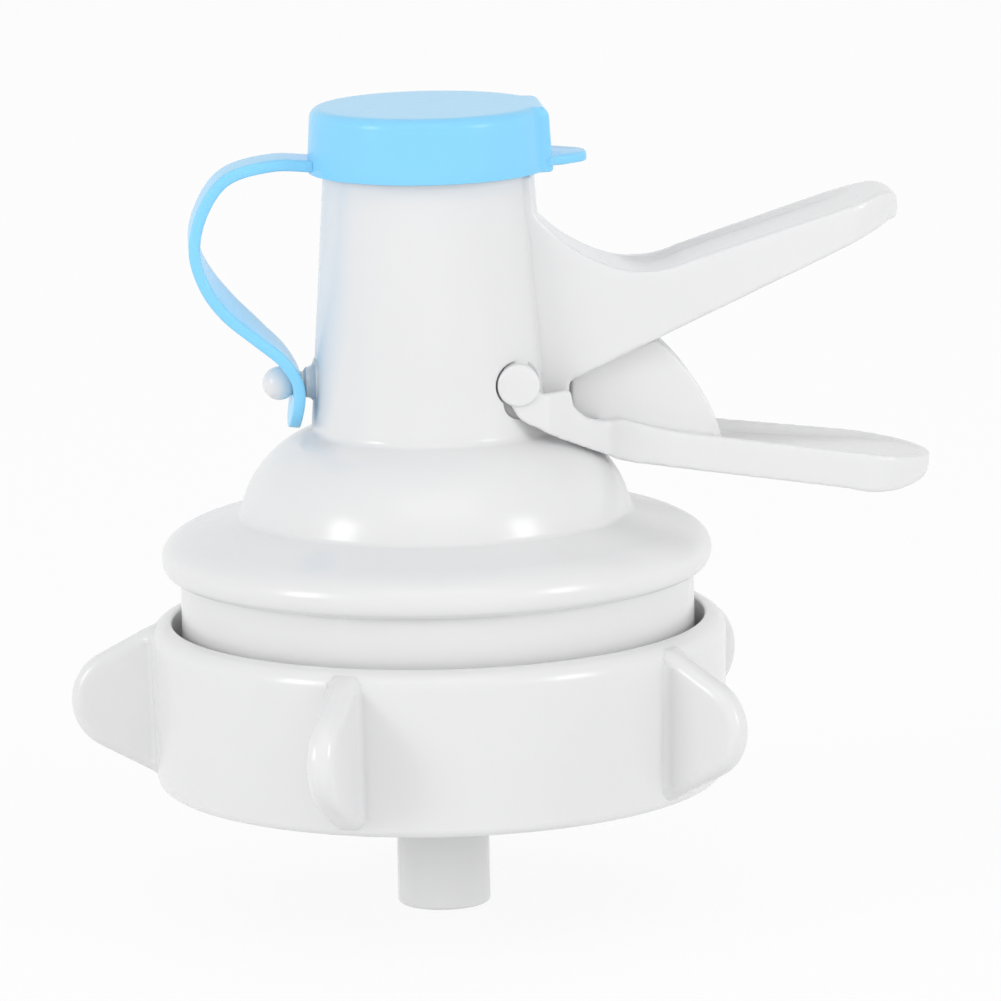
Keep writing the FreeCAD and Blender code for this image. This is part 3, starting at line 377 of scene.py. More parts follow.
def applied(obj):
    """Turn the object's modifiers into its mesh."""
    mesh = bpy.data.meshes.new_from_object(obj.evaluated_get(bpy.context.evaluated_depsgraph_get()))
    obj.modifiers.clear()
    obj.data = mesh


def combine(obj, operation, tools):
    """Join, cut or cross a piece with others, which are used up."""
    for tool in tools:
        change = obj.modifiers.new(operation.lower(), "BOOLEAN")
        change.operation = operation
        change.object = tool
        change.solver = "EXACT"
    applied(obj)
    for tool in tools:
        bpy.data.objects.remove(tool)


def neck_r(z):
    """Radius of the neck's outside at a height."""
    return FOOT_R + (NECK_TOP_R - FOOT_R) * (z - FOOT_Z) / (NECK_TOP_Z - FOOT_Z)


def spout_outline():
    """Half the section of neck, dome, brim and skirt: up the outside and down the inside."""
    crease, foot = (CREASE_R, CREASE_Z), (FOOT_R, FOOT_Z)
    brim, under = (BRIM_R, BRIM_Z), (SKIRT_R, UNDER_Z)
    outside = [(SKIRT_R, SKIRT_LOW, 0.3), under]
    outside += parabola(under, UNDER_MIDDLE, brim, 10) + parabola(brim, BRIM_SHOULDER, BRIM_TOP, 12)
    outside += [crease + (CREASE_ROUND,)]
    outside += arc(crease, DOME_MIDDLE, foot, 20)[:-1]
    outside += [foot + (FOOT_ROUND,), (NECK_TOP_R, NECK_TOP_Z), (RIM_R, NECK_TOP_Z + 1), (RIM_R, RIM_Z, 0.5)]
    inner_foot, inner_crease = (FOOT_R - WALL, INNER_FOOT_Z), (CREASE_R - WALL, INNER_CREASE_Z)
    inside = [(RIM_R - WALL, RIM_Z, 0.5), inner_foot]
    inside += arc(inner_foot, DOME_INSIDE, inner_crease, 14)
    inside += [(ROOF_R, ROOF_Z), (ROOF_R, LEDGE_Z), (CROWN_R, LEDGE_Z, 0.3), (CROWN_R, SKIRT_LOW + 4),
               (SKIRT_R - 0.6, SKIRT_LOW)]
    return rounded(outside + inside)


def spout():
    """The turned shell with its pockets, and the bosses that carry the axle through its wall."""
    shell = turned("spout", spout_outline(), MILKY_WHITE, segments=180)
    tools = []
    for side in (-1, 1):
        start, end = sorted((side * BOSS_OUT, side * (BOSS_OUT + POCKET_REACH)))
        for radius, x, z in ((POCKET_R, PIVOT_X, PIVOT_Z), (ARM_POCKET_R, ARM_POCKET_X, ARM_POCKET_Z)):
            tools.append(turned("pocket", [(0, start), (radius, start), (radius, end), (0, end)], MILKY_WHITE,
                                segments=64, axis="y", centre=(x, 0, z)))
    combine(shell, "DIFFERENCE", tools)
    smooth(shell, sharp=30.0)
    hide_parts("spout_housing")
    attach(shell, "housing")
    for side, name in ((-1, "axle_boss_near"), (1, "axle_boss_far")):
        low, high = sorted((side * BOSS_IN, side * BOSS_OUT))
        boss = turned(name, [(BORE_R, low), (BOSS_R, low), (BOSS_R, high), (BORE_R, high)],
                      MILKY_WHITE, segments=48, axis="y", centre=(PIVOT_X, 0, PIVOT_Z))
        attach(boss, "housing")


spout()

# HANDLE
# A hollow grip, open below, that grows out of the neck in the same shot of plastic.
# Its top is sunk a little inside a narrow rim, and its underside takes in the trigger's cheeks.
SADDLE_X, SADDLE_Z = 27.0, 42.05
BEND_X, BEND_Z = SADDLE_X - 10.4, SADDLE_Z + 3.55
DIP_X, DIP_Z = SADDLE_X - 4.0, SADDLE_Z + 0.35
RISE_X, RISE_Z = SADDLE_X + 4.5, SADDLE_Z + 1.15
TIP_X, TIP_Z = 58.3, 48.4
ROOT_X, ROOT_Z, ROOT_IN = 12.0, 50.4, 3
ROOT_HALF, ROOT_END, GRIP_HALF = 7.1, 14.0, 8.3
SHELL_WALL, SHELL_ROOF = 1.3, 2.0
RIM_WIDTH, RIM_DEPTH = 1.9, 0.5
JUNCTION_FILLET = 0.6
PAD_X, PAD_TOP = 12.25, 54.3
HEEL_Z = 25.8
NOSE = [(TIP_X - 2.7, TIP_Z + 2.2), (TIP_X - 0.7, TIP_Z + 1.7), (TIP_X, TIP_Z)]
CHIN = [(TIP_X - 0.2, TIP_Z - 1.0), (TIP_X - 1.6, TIP_Z - 1.4)]
HEEL = [(FOOT_R + 1.2, PIVOT_Z - 0.7), (FOOT_R + 1.0, HEEL_Z), (ROOT_X - ROOT_IN, HEEL_Z)]
HOLLOW_X, HOLLOW_Z = TIP_X - 3.6, TIP_Z - 2.4
SUNK_END = [(TIP_X - 8.3, TIP_Z - 0.05), (TIP_X - 5.8, TIP_Z + 0.95), (TIP_X - 3.8, TIP_Z + 2.2)]
CUT_HALF, CUT_FLOOR, CUT_CEILING = 12, 19, 62
VOXEL, SOFTENING = 0.3, 8


def prism(name, outline, plane, low, high, material=MILKY_WHITE):
    """A straight form: an (x, z) outline run along y, or an (x, y) outline run along z."""
    points = []
    for level in (low, high):
        points += [(u, level, v) if plane == "xz" else (u, v, level) for u, v in outline]
    count = len(outline)
    faces = [tuple(range(count)), tuple(range(2 * count - 1, count - 1, -1))]
    faces += [(n, (n + 1) % count, count + (n + 1) % count, count + n) for n in range(count)]
    return piece(name, points, faces, material)


def ring_faces(rows, count, capped=True):
    """The faces between rings of points that follow one another; capped fills the two end rings."""
    faces = []
    for row in range(rows - 1):
        here, after = row * count, (row + 1) * count
        for step in range(count):
            ahead = (step + 1) % count
            faces.append((here + step, here + ahead, after + ahead, after + step))
    if capped:
        faces += [tuple(range(count)), tuple(range((rows - 1) * count, rows * count))]
    return faces


def mirrored(half):
    """A plan outline from its +y half; points on the axis aren't doubled."""
    return half + [(x, -y) for x, y in reversed(half) if y > 0.001]


def moulded(obj, grain, passes):
    """Give a carved piece the soft edges of a moulding: an even fine mesh, then smoothed."""
    remesh = obj.modifiers.new("even", "REMESH")
    remesh.mode = "VOXEL"
    remesh.voxel_size = grain * 0.001
    soften = obj.modifiers.new("soften", "SMOOTH")
    soften.factor = 0.5
    soften.iterations = passes
    applied(obj)
    smooth(obj, sharp=60.0)


def handle_side(drop):
    """The handle's top line from the neck to the tip, lowered by a drop."""
    root, dip, rise = (ROOT_X, ROOT_Z - drop), (DIP_X, DIP_Z - drop), (RISE_X, RISE_Z - drop)
    return [root] + arc(root, (BEND_X, BEND_Z - drop), dip, 14) + arc(dip, (SADDLE_X, SADDLE_Z - drop), rise, 10)


def handle_plan(inset, end):
    """The handle's plan from the neck's inside to a round end, drawn in by an inset."""
    side = (end - 10, GRIP_HALF - inset)
    return mirrored([(ROOT_X - ROOT_IN, ROOT_HALF - inset), (ROOT_END, ROOT_HALF - inset), side]
                    + arc(side, (end - 2.6, GRIP_HALF - 2.4 - 0.7 * inset), (end, 0.0), 12))


def handle():
    """The grip: its side crossed with its plan, hollowed from below, sunk on top and opened to the neck."""
    side = [(ROOT_X - ROOT_IN, PAD_TOP), (PAD_X, PAD_TOP), (PAD_X + 0.2, ROOT_Z - 0.3)] + handle_side(0)[1:]
    side += NOSE[:1] + arc(*NOSE, 12) + arc(NOSE[-1], *CHIN, 6) + HEEL
    grip = prism("handle", side, "xz", -CUT_HALF, CUT_HALF)
    combine(grip, "INTERSECT", [prism("plan", handle_plan(0, TIP_X), "xy", CUT_FLOOR + 1, CUT_CEILING)])
    hollow = handle_side(SHELL_ROOF)
    hollow += [(HOLLOW_X, HOLLOW_Z), (HOLLOW_X, CUT_FLOOR), (ROOT_X - 1, CUT_FLOOR),
               (ROOT_X - 1, ROOT_Z - SHELL_ROOF)]
    inside = prism("inside", hollow, "xz", -CUT_HALF, CUT_HALF)
    plan = handle_plan(SHELL_WALL, TIP_X - SHELL_WALL)
    combine(inside, "INTERSECT", [prism("plan", plan, "xy", CUT_FLOOR - 1, CUT_CEILING)])
    dip = (DIP_X, DIP_Z)
    sunk_line = [dip] + arc(dip, (SADDLE_X, SADDLE_Z - RIM_DEPTH), (RISE_X, RISE_Z - RIM_DEPTH), 10)
    sunk_line += SUNK_END + [(SUNK_END[-1][0], CUT_CEILING - 2), (DIP_X, CUT_CEILING - 2)]
    sunk = prism("sunk", sunk_line, "xz", -CUT_HALF, CUT_HALF)
    plan = handle_plan(RIM_WIDTH, TIP_X - RIM_WIDTH)
    combine(sunk, "INTERSECT", [prism("plan", plan, "xy", CUT_FLOOR + 1, CUT_CEILING)])
    bore = turned("bore", [(0, CUT_FLOOR), (FOOT_R - WALL, INNER_FOOT_Z), (RIM_R - WALL, RIM_Z), (0, RIM_Z + 1)],
                  MILKY_WHITE, segments=96)
    combine(grip, "DIFFERENCE", [inside, sunk, bore])
    moulded(grip, VOXEL, SOFTENING)
    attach(grip, "housing")


handle()


def junction_fillet(name, side):
    """The hollow rounding where the handle's flank meets the neck."""
    points = []
    steps, levels = 8, 44
    low, high = PIVOT_Z + 0.6, ROOT_Z - 1.9
    for level in range(levels):
        z = low + (high - low) * level / (levels - 1)
        radius = JUNCTION_FILLET * min(1.0, 0.15 + (high - z) / 1.5)
        neck = neck_r(z)
        across = ROOT_HALF + radius
        centre = Vector((math.sqrt((neck + radius) ** 2 - across ** 2), across))
        first, last = Vector((0, -radius)), -centre.normalized() * radius
        turn = math.atan2(first.x * last.y - first.y * last.x, first.dot(last))
        row = [centre + Matrix.Rotation(turn * step / steps, 2) @ first for step in range(steps + 1)]
        row.append(Vector((math.sqrt(neck ** 2 - ROOT_HALF ** 2) - 0.3, ROOT_HALF - 0.3)))
        points += [(x, side * y, z) for x, y in row]
    fillet = piece(name, points, ring_faces(levels, steps + 2), MILKY_WHITE)
    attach(fillet, "housing")


junction_fillet("junction_near", -1)
junction_fillet("junction_far", 1)

# STRAP BUTTON
# A small mushroom of the same plastic, moulded on the neck's back. The strap's eye is pushed over its
# ball and rests on the throat behind it; the stalk flares into the neck.
BUTTON_X, BUTTON_Z, BALL_R = 19.05, 28.5, 2.1
STALK_R, THROAT_R = 1.9, 1.4
THROAT_END = BUTTON_X - math.sqrt(BALL_R ** 2 - THROAT_R ** 2)
EYE_X = THROAT_END - 0.625


def strap_button():
    """The button, turned about a line through the neck's axis."""
    flare, stalk = (STALK_R + 1.1, FOOT_R - 0.5), (STALK_R, FOOT_R + 0.6)
    throat = (THROAT_R, THROAT_END)
    outline = [(0, FOOT_R - WALL), (flare[0], FOOT_R - WALL), flare]
    outline += parabola(flare, (STALK_R + 0.25, FOOT_R - 0.1), stalk, 6)
    outline += [(THROAT_R, FOOT_R + 0.9), throat]
    outline += arc(throat, (BALL_R, BUTTON_X), (0, BUTTON_X + BALL_R), 16)
    button = turned("strap_button", outline, MILKY_WHITE, segments=48, axis="-x", centre=(0, 0, BUTTON_Z))
    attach(button, "housing")


strap_button()

# TRIGGER
# One moulding of the same plastic: two arms with round eyes pass outside the neck, an open tray takes
# the fingers, and two cheeks rise into the hollow handle. It is keyed to a steel axle and turns with it.
FORK_X, TRAY_X, TRAY_Z = 20.7, 62.0, 17.0
EYE_R, EYE_FACE, EYE_EDGE, ARM_IN, ARM_OUT = 2.6, 13.3, 0.35, 11.45, 12.9
CHEEK_HALF, CHEEK_WALL, CHEEK_BACK = 5.1, 1.2, FOOT_R + 1.4
TRAY_HALF, TRAY_FLOOR, TRAY_RIM = 9.25, 1.3, 1.2
CHANNEL_BACK, CHANNEL_END, CHANNEL_TOP = FOOT_R - 1.2, FORK_X + 16.0, PIVOT_Z + 7
DISH_X, DISH_Z = FORK_X + 13.4, TRAY_Z + 2.5
EYE_START, EYE_BACK, EYE_END = -111, 150, -27
EYE_ROOT = [(PIVOT_X - 0.15, PIVOT_Z - 3.9), (PIVOT_X + 1.8, PIVOT_Z - 5.2)]
UNDERSIDE = [(FORK_X - 6.4, TRAY_Z + 5.4), (FORK_X + 1.5, TRAY_Z + 1.45), (FORK_X + 3.6, TRAY_Z + 1.0),
             (FORK_X + 11.6, TRAY_Z - 0.2), (TRAY_X - 11.3, TRAY_Z - 2.8)]
TRAY_NOSE = [(TRAY_X - 4.6, TRAY_Z - 3.25), (TRAY_X - 0.9, TRAY_Z - 2.2)]
TRAY_TOP = [(TRAY_X, TRAY_Z + 0.2), (TRAY_X - 4.5, TRAY_Z + 0.85), (TRAY_X - 9, TRAY_Z + 1.55),
            (FORK_X + 13.9, TRAY_Z + 4.1)]
ARM_TOP = [(FORK_X + 6.6, TRAY_Z + 5.3), (FORK_X + 2.1, TRAY_Z + 6.6)]
ARM_STEP = [(FORK_X - 2.6, TRAY_Z + 7.4), (FORK_X - 4.2, TRAY_Z + 9.0)]
ARM_STEP_X = FORK_X - 4.6
ARM_PLAN = [(PIVOT_X - 4, ARM_OUT), (PIVOT_X + 3.7, ARM_OUT), (FORK_X - 1.8, CHEEK_HALF + 3.3),
            (FORK_X + 0.6, CHEEK_HALF + 1.3)]
FORK_PLAN = [(PIVOT_X - 6, ARM_IN), (PIVOT_X + 3.4, ARM_IN), (FORK_X - 2.6, CHEEK_HALF + 2.1),
             (FORK_X, CHEEK_HALF - 0.3)]
CHEEK_UNDER = [(CHEEK_BACK, TRAY_Z + 5.4), (FORK_X - 0.8, TRAY_Z + 3.8), (FORK_X + 3.6, TRAY_Z + 1.7),
               (FORK_X + 11.6, TRAY_Z + 0.7), (FORK_X + 15.4, TRAY_Z + 1.2), (FORK_X + 14.6, TRAY_Z + 4.0)]
CHEEK_ROUND = [(FORK_X + 11.2, PIVOT_Z - 1.0), (FORK_X + 6.6, PIVOT_Z + 3.9)]
CHANNEL_FLOOR = [(FORK_X, TRAY_Z - 2), (FORK_X, TRAY_Z + 2.6 + TRAY_FLOOR), (FORK_X + 3.6, TRAY_Z + 1.2 + TRAY_FLOOR),
                 (FORK_X + 11.6, TRAY_Z + TRAY_FLOOR + 0.3)]
PLAN_LOW, PLAN_HIGH = 5, 45


def on_eye(angle):
    """A point on the eye's outline, in the (x, z) plane."""
    return PIVOT_X + EYE_R * math.cos(math.radians(angle)), PIVOT_Z + EYE_R * math.sin(math.radians(angle))


def tray_plan(inset):
    """Half of the tray's plan from behind the cheeks round to the tip, drawn in by an inset."""
    side, tip = (TRAY_X - 9, TRAY_HALF - inset), (TRAY_X - inset, 0.0)
    return [(FORK_X + 13.6, TRAY_HALF - 1.85 - inset), side] + arc(
        side, (TRAY_X - 2.7 - 0.7 * inset, TRAY_HALF - 2.65 - 0.7 * inset), tip, 14)


def trigger_band():
    """The side outline of arms and tray: along the underside to the tip and back over the top."""
    start, end = on_eye(EYE_START), on_eye(EYE_END)
    band = [start] + arc(start, *EYE_ROOT, 6) + UNDERSIDE
    band += arc(band[-1], *TRAY_NOSE, 8) + TRAY_TOP
    band += arc(band[-1], *ARM_TOP, 8)
    band += arc(band[-1], *ARM_STEP, 8) + [(ARM_STEP_X, end[1]), end]
    return band + arc(end, on_eye(EYE_BACK), start, 24)[:-1]


def cheek_side():
    """The side outline of the cheeks, with the round back edge that slides into the handle."""
    return CHEEK_UNDER + arc(CHEEK_UNDER[-1], *CHEEK_ROUND, 14) + [(CHEEK_BACK, PIVOT_Z + 1.1)]


def trigger():
    """The lever: its side crossed with its plan, forked and dished, with the hollow cheeks put on."""
    lever = prism("trigger", trigger_band(), "xz", -ARM_OUT - 2.1, ARM_OUT + 2.1)
    combine(lever, "INTERSECT", [prism("plan", mirrored(ARM_PLAN + tray_plan(0)), "xy", PLAN_LOW, PLAN_HIGH)])
    dish_floor = [(DISH_X, DISH_Z), (TRAY_X, TRAY_Z), (TRAY_X, PIVOT_Z), (DISH_X, PIVOT_Z)]
    dish = prism("dish", dish_floor, "xz", -CUT_HALF, CUT_HALF)
    combine(dish, "INTERSECT", [prism("plan", mirrored(tray_plan(TRAY_RIM)), "xy", PLAN_LOW, PLAN_HIGH)])
    combine(lever, "DIFFERENCE", [prism("fork", mirrored(FORK_PLAN), "xy", PLAN_LOW - 5, PLAN_HIGH + 5), dish])
    combine(lever, "UNION", [prism("cheeks", cheek_side(), "xz", -CHEEK_HALF, CHEEK_HALF)])
    channel = [(CHANNEL_BACK, TRAY_Z - 2)] + CHANNEL_FLOOR
    channel += [(CHANNEL_END, TRAY_Z + 2.4), (CHANNEL_END, CHANNEL_TOP), (CHANNEL_BACK, CHANNEL_TOP)]
    inner = CHEEK_HALF - CHEEK_WALL
    far_hole = turned("far_hole", [(0, ARM_IN - 1), (AXLE_R, ARM_IN - 1), (AXLE_R, 16), (0, 16)], MILKY_WHITE,
                      segments=32, axis="y", centre=(PIVOT_X, 0, PIVOT_Z))
    combine(lever, "DIFFERENCE", [prism("channel", channel, "xz", -inner, inner), far_hole])
    moulded(lever, VOXEL, SOFTENING)
    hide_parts("trigger_lever")
    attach(lever, "trigger")
    near = [(0, -EYE_FACE), (EYE_R, -EYE_FACE, EYE_EDGE), (EYE_R, -ARM_IN), (0, -ARM_IN)]
    far = [(AXLE_R, ARM_IN), (EYE_R, ARM_IN), (EYE_R, EYE_FACE, EYE_EDGE), (AXLE_R, EYE_FACE)]
    for name, outline in (("trigger_eye_near", near), ("trigger_eye_far", far)):
        eye = turned(name, rounded(outline), MILKY_WHITE, segments=64, axis="y", centre=(PIVOT_X, 0, PIVOT_Z))
        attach(eye, "trigger")


trigger()

# NUT
# A deep ring of white polypropylene with five finger wings, moulded in one. It turns on the skirt and
# pulls the tap down; inside it a slip washer and a split ring take its grip to the bottle's neck.
NUT_TOP, NUT_LOW, NUT_R, NUT_BORE = -1.4, -21.9, 35.9, 32.3
MOUTH_R, MOUTH_DEEP = 33.2, 5.0
TOP_ROUND, LOW_ROUND, WALL_LEAN = 2.2, 1.2, 0.45
LIP_R, SLIP_Z = 28.4, -18.5
WING_R, WING_MID, WING_HALF = 46.0, -11.4, 1.7
WING_TIP_R, WING_SLANT = 6.5, math.radians(28)
WING_EDGE, WING_ROOT_FILLET = 1.4, 0.8
WINGS, WING_TURN = 5, 30.7
SINK, SINK_RUN = 0.9, 3.0
SLOPE_STEPS, TIP_STEPS, EDGE_STEPS = 12, 28, 6
PLATE_SHARES = (0.75, 0.5, 0.25, 0.0)
ROOT_SHARES = (0.75, 0.55, 0.38, 0.24, 0.12, 0.04, 0.0, -0.25)


def nut_ring():
    """The nut's ring, turned: a wider mouth above, a bore on the skirt and an inward lip below."""
    outline = rounded([(NUT_R, NUT_TOP, TOP_ROUND), (MOUTH_R, NUT_TOP, 0.4), (MOUTH_R, NUT_TOP - MOUTH_DEEP),
                       (NUT_BORE, NUT_TOP - MOUTH_DEEP - 0.9), (NUT_BORE, SLIP_Z), (LIP_R, SLIP_Z),
                       (LIP_R, NUT_LOW, 0.8), (NUT_R - WALL_LEAN, NUT_LOW, LOW_ROUND)], steps=10)
    nut = turned("nut", outline, MILKY_WHITE, segments=180)
    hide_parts("collar_nut")
    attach(nut, "collar")


def nut_wall(z):
    """Outer radius of the nut at a height, its rounded rims included."""
    wall = NUT_R - WALL_LEAN * (NUT_TOP - z) / (NUT_TOP - NUT_LOW)
    for limit, radius, way in ((NUT_TOP, TOP_ROUND, 1), (NUT_LOW, LOW_ROUND, -1)):
        over = min(max(way * (z - limit) + radius, 0.0), radius)
        wall -= radius - math.sqrt(radius ** 2 - over ** 2)
    return wall


def wing_line():
    """The wing's edge in (radius, height): down a slope, round the tip, and back down to the wall."""
    root = NUT_R - TOP_ROUND
    end_r, end_z = WING_R - WING_TIP_R + WING_TIP_R * math.sin(WING_SLANT), WING_TIP_R * math.cos(WING_SLANT)
    high, low = Vector((end_r, WING_MID + end_z)), Vector((end_r, WING_MID - end_z))
    drop = Vector((root - high.x, (high.x - root) * math.tan(WING_SLANT)))
    line = [high + drop * (1 - n / SLOPE_STEPS) for n in range(SLOPE_STEPS)]
    for point in line:
        point.y -= SINK * max(1 - (point.x - root) / SINK_RUN, 0.0) ** 2
    line += [Vector(p) for p in [tuple(high)] + arc(tuple(high), (WING_R, WING_MID), tuple(low), TIP_STEPS)]
    return line + [low + Vector((drop.x, -drop.y)) * (n / SLOPE_STEPS) for n in range(1, SLOPE_STEPS + 1)]


def half_row(here, along):
    """Points across one side of the wing: round its edge, along its face and out into the nut's wall."""
    inward = Vector((along.y, -along.x))
    row = []
    for step in range(EDGE_STEPS + 1):
        angle = math.radians(90 * step / EDGE_STEPS)
        point = here + inward * (WING_EDGE * (1 - math.cos(angle)))
        row.append((point.x, point.y, WING_HALF - WING_EDGE * (1 - math.sin(angle))))
    rim = Vector(row[-1][:2])
    foot = nut_wall(rim.y)
    stretch = max(rim.x - foot - WING_ROOT_FILLET, 0.0)
    row += [(min(foot + WING_ROOT_FILLET + stretch * share, rim.x), rim.y, WING_HALF) for share in PLATE_SHARES]
    row += [(min(foot + WING_ROOT_FILLET * share, rim.x), rim.y, WING_HALF) for share in ROOT_SHARES]
    flared = []
    for x, height, y in row:
        wall = nut_wall(height)
        lack = WING_ROOT_FILLET - min(max(x - wall, 0.0), WING_ROOT_FILLET)
        y += WING_ROOT_FILLET - math.sqrt(WING_ROOT_FILLET ** 2 - lack ** 2)
        flared.append((x - wall + math.sqrt(wall ** 2 - y ** 2), y, height))
    return flared


def wing(index):
    """One wing: a plate with a rounded edge that flares into the nut's wall."""
    edge = wing_line()
    points = []
    for number, here in enumerate(edge):
        before, after = edge[max(number - 1, 0)], edge[min(number + 1, len(edge) - 1)]
        side = half_row(here, (after - before).normalized())
        points += [(x, -y, height) for x, y, height in reversed(side)] + side
    faces = ring_faces(len(edge), len(points) // len(edge))
    spin = Matrix.Rotation(math.radians(WING_TURN + 360 / WINGS * index), 3, "Z")
    plate = piece("nut_wing_%d" % index, [spin @ Vector(point) for point in points], faces, MILKY_WHITE, sharp=50.0)
    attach(plate, "collar")


nut_ring()
for number in range(WINGS):
    wing(number)

# CAP
# A push-on lid of sky blue polyethylene, moulded with one flat side and a pull tab towards the handle.
# A plug ring under its roof fits into the mouth, and a soft disc in its roof lies on the neck's rim.
CAP_LOW, CAP_TOP, CAP_R, CAP_TAPER = 54.6, 62.6, 14.95, 0.4
CAP_ROOF, CAP_BORE, PAD_HALF = 61.0, 13.5, 6.3
CAP_LIP, CAP_ROUND = 0.3, 1.3
CAP_SIDES, SIDE_LEVELS, ROUND_LEVELS = 240, 5, 8
CORNER_BLUR = (-1.2, -0.6, 0.0, 0.6, 1.2)
CROWN_IN, CROWN_UP, FLAT_RINGS = 0.7, 0.02, (10.0, 5.0, 0.0)
PLUG_IN, PLUG_OUT, PLUG_LOW, PLUG_HIGH = 9.2, 10.55, 57.3, CAP_ROOF + 0.2
TAB_LOW, TAB_HIGH, TAB_X, TAB_EDGE = 55.2, 56.4, 19.5, 0.0003
SKY_BLUE = finish("sky_blue", (0.255, 0.665, 0.985), 0.17, clouding=0.02, milky=0.08, shine=0.28)


def cap_reach(angle):
    """Distance from the cap's axis to its outside, which is squared off towards the handle."""
    total = 0.0
    corner, meet = math.degrees(math.atan2(PAD_HALF, CAP_R)), math.degrees(math.asin(PAD_HALF / CAP_R))
    for shift in CORNER_BLUR:
        turn = abs((angle + shift + 180) % 360 - 180)
        if turn < corner:
            total += CAP_R / math.cos(math.radians(turn))
        else:
            total += PAD_HALF / math.sin(math.radians(turn)) if turn < meet else CAP_R
    return total / len(CORNER_BLUR)


def cap():
    """The lid, from rings of (radius, height): plain circles inside, and outside a distance in from its side."""
    rings = [(0.0, CAP_ROOF, False), (CAP_BORE, CAP_ROOF, False), (CAP_BORE, CAP_LOW + CAP_LIP, False),
             (CAP_BORE + CAP_LIP, CAP_LOW, False), (CAP_LIP, CAP_LOW, True), (0.08, CAP_LOW + 0.1, True),
             (0.0, CAP_LOW + CAP_LIP, True)]
    for level in range(1, SIDE_LEVELS):
        height = (CAP_TOP - CAP_ROUND - CAP_LOW) * level / SIDE_LEVELS
        rings.append((CAP_TAPER * level / SIDE_LEVELS, CAP_LOW + height, True))
    for level in range(ROUND_LEVELS + 1):
        angle = math.radians(90 * level / ROUND_LEVELS)
        rings.append((CAP_TAPER + CAP_ROUND * (1 - math.cos(angle)), CAP_TOP - CAP_ROUND * (1 - math.sin(angle)), True))
    rings.append((CAP_TAPER + CAP_ROUND + CROWN_IN, CAP_TOP + CROWN_UP, True))
    rings += [(radius, CAP_TOP, False) for radius in FLAT_RINGS]
    points = []
    for amount, z, follows_side in rings:
        for number in range(CAP_SIDES):
            degrees = 360 * number / CAP_SIDES
            radius = cap_reach(degrees) - amount if follows_side else amount
            points.append((radius * math.cos(math.radians(degrees)), radius * math.sin(math.radians(degrees)), z))
    lid = piece("cap", points, ring_faces(len(rings), CAP_SIDES, capped=False), SKY_BLUE)
    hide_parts("spout_cap")
    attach(lid, "cap")
    plug = turned("cap_plug", rounded([(PLUG_IN, PLUG_HIGH), (PLUG_IN, PLUG_LOW, 0.4), (PLUG_OUT, PLUG_LOW, 0.5),
                                       (PLUG_OUT, PLUG_HIGH)]), SKY_BLUE, segments=96)
    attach(plug, "cap")


def cap_tab():
    """The pull tab: a flat tongue from the cap's flat side, with softened edges."""
    side, nose = (CAP_R + 1.4, PAD_HALF - 1.7), (TAB_X - 0.8, PAD_HALF - 3.7)
    plan = mirrored([(CAP_BORE + 0.4, PAD_HALF), (CAP_R, PAD_HALF)]
                    + arc((CAP_R, PAD_HALF), (CAP_R + 0.3, PAD_HALF - 1.1), side, 6) + [nose]
                    + arc(nose, (TAB_X - 0.2, 0.5 * PAD_HALF - 1.35), (TAB_X, 0.0), 6))
    tab = prism("cap_tab", plan, "xy", TAB_LOW, TAB_HIGH, SKY_BLUE)
    edge = tab.modifiers.new("soft_edge", "BEVEL")
    edge.width = TAB_EDGE
    edge.segments = 3
    edge.limit_method = "ANGLE"
    edge.angle_limit = math.radians(50)
    edge.use_clamp_overlap = False
    applied(tab)
    smooth(tab, sharp=50.0)
    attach(tab, "cap")


cap()
cap_tab()

# STRAP
# A flat band moulded with the cap, from the same sky blue plastic, that keeps the cap on the tap.
# Its own stiffness bows it; its lower end has an eye that is snapped over the button's ball.
STRAP_THICK, STRAP_TOP_HALF, STRAP_LOW_HALF = 1.45, 3.5, 4.8
STRAP_BOW, STRAP_TAIL = 14.0, 5.4
STRAP_TWIST, TWIST_RISE, TWIST_RUN = 8.0, 10.5, 6.0
TAIL_START, HOLE_PLAY = 1.5, 0.12
ROUND_STEPS = 8


def strap_route():
    """The band's middle line in (x, z), from inside the cap's wall round the bow to the tail below the eye."""
    start, top_z = -CAP_R - 0.15, CAP_LOW + 1.2
    drop, bow = top_z - BUTTON_Z, STRAP_BOW
    return [(start + 0.6, top_z), (start - 0.31 * bow, top_z + 0.2), (start - 0.73 * bow, top_z - 0.107 * bow),
            (start - 0.95 * bow, top_z - 0.22 * drop), (start - bow, top_z - 0.38 * drop),
            (-EYE_X - 0.775 * bow, top_z - 0.52 * drop), (-EYE_X - 0.596 * bow, BUTTON_Z + 0.355 * drop),
            (-EYE_X - 0.346 * bow, BUTTON_Z + 0.234 * drop), (-EYE_X - 0.114 * bow, BUTTON_Z + 0.118 * drop),
            (-EYE_X, BUTTON_Z), (-EYE_X - 0.04 * bow, BUTTON_Z - STRAP_TAIL)]


def through(points, runs):
    """A smooth line through points, as a Catmull-Rom curve with centripetal steps."""
    knots = [Vector(points[0]) * 2 - Vector(points[1])] + [Vector(p) for p in points]
    knots.append(knots[-1] * 2 - knots[-2])
    line = []
    for a, b, c, d in zip(knots, knots[1:], knots[2:], knots[3:]):
        t1 = (b - a).length ** 0.5
        t2 = t1 + (c - b).length ** 0.5
        t3 = t2 + (d - c).length ** 0.5
        for step in range(runs):
            t = t1 + (t2 - t1) * step / runs
            p, q, r = a.lerp(b, t / t1), b.lerp(c, (t - t1) / (t2 - t1)), c.lerp(d, (t - t2) / (t3 - t2))
            line.append(p.lerp(q, t / t2).lerp(q.lerp(r, (t - t1) / (t3 - t1)), (t - t1) / (t2 - t1)))
    return line + [knots[-2]]


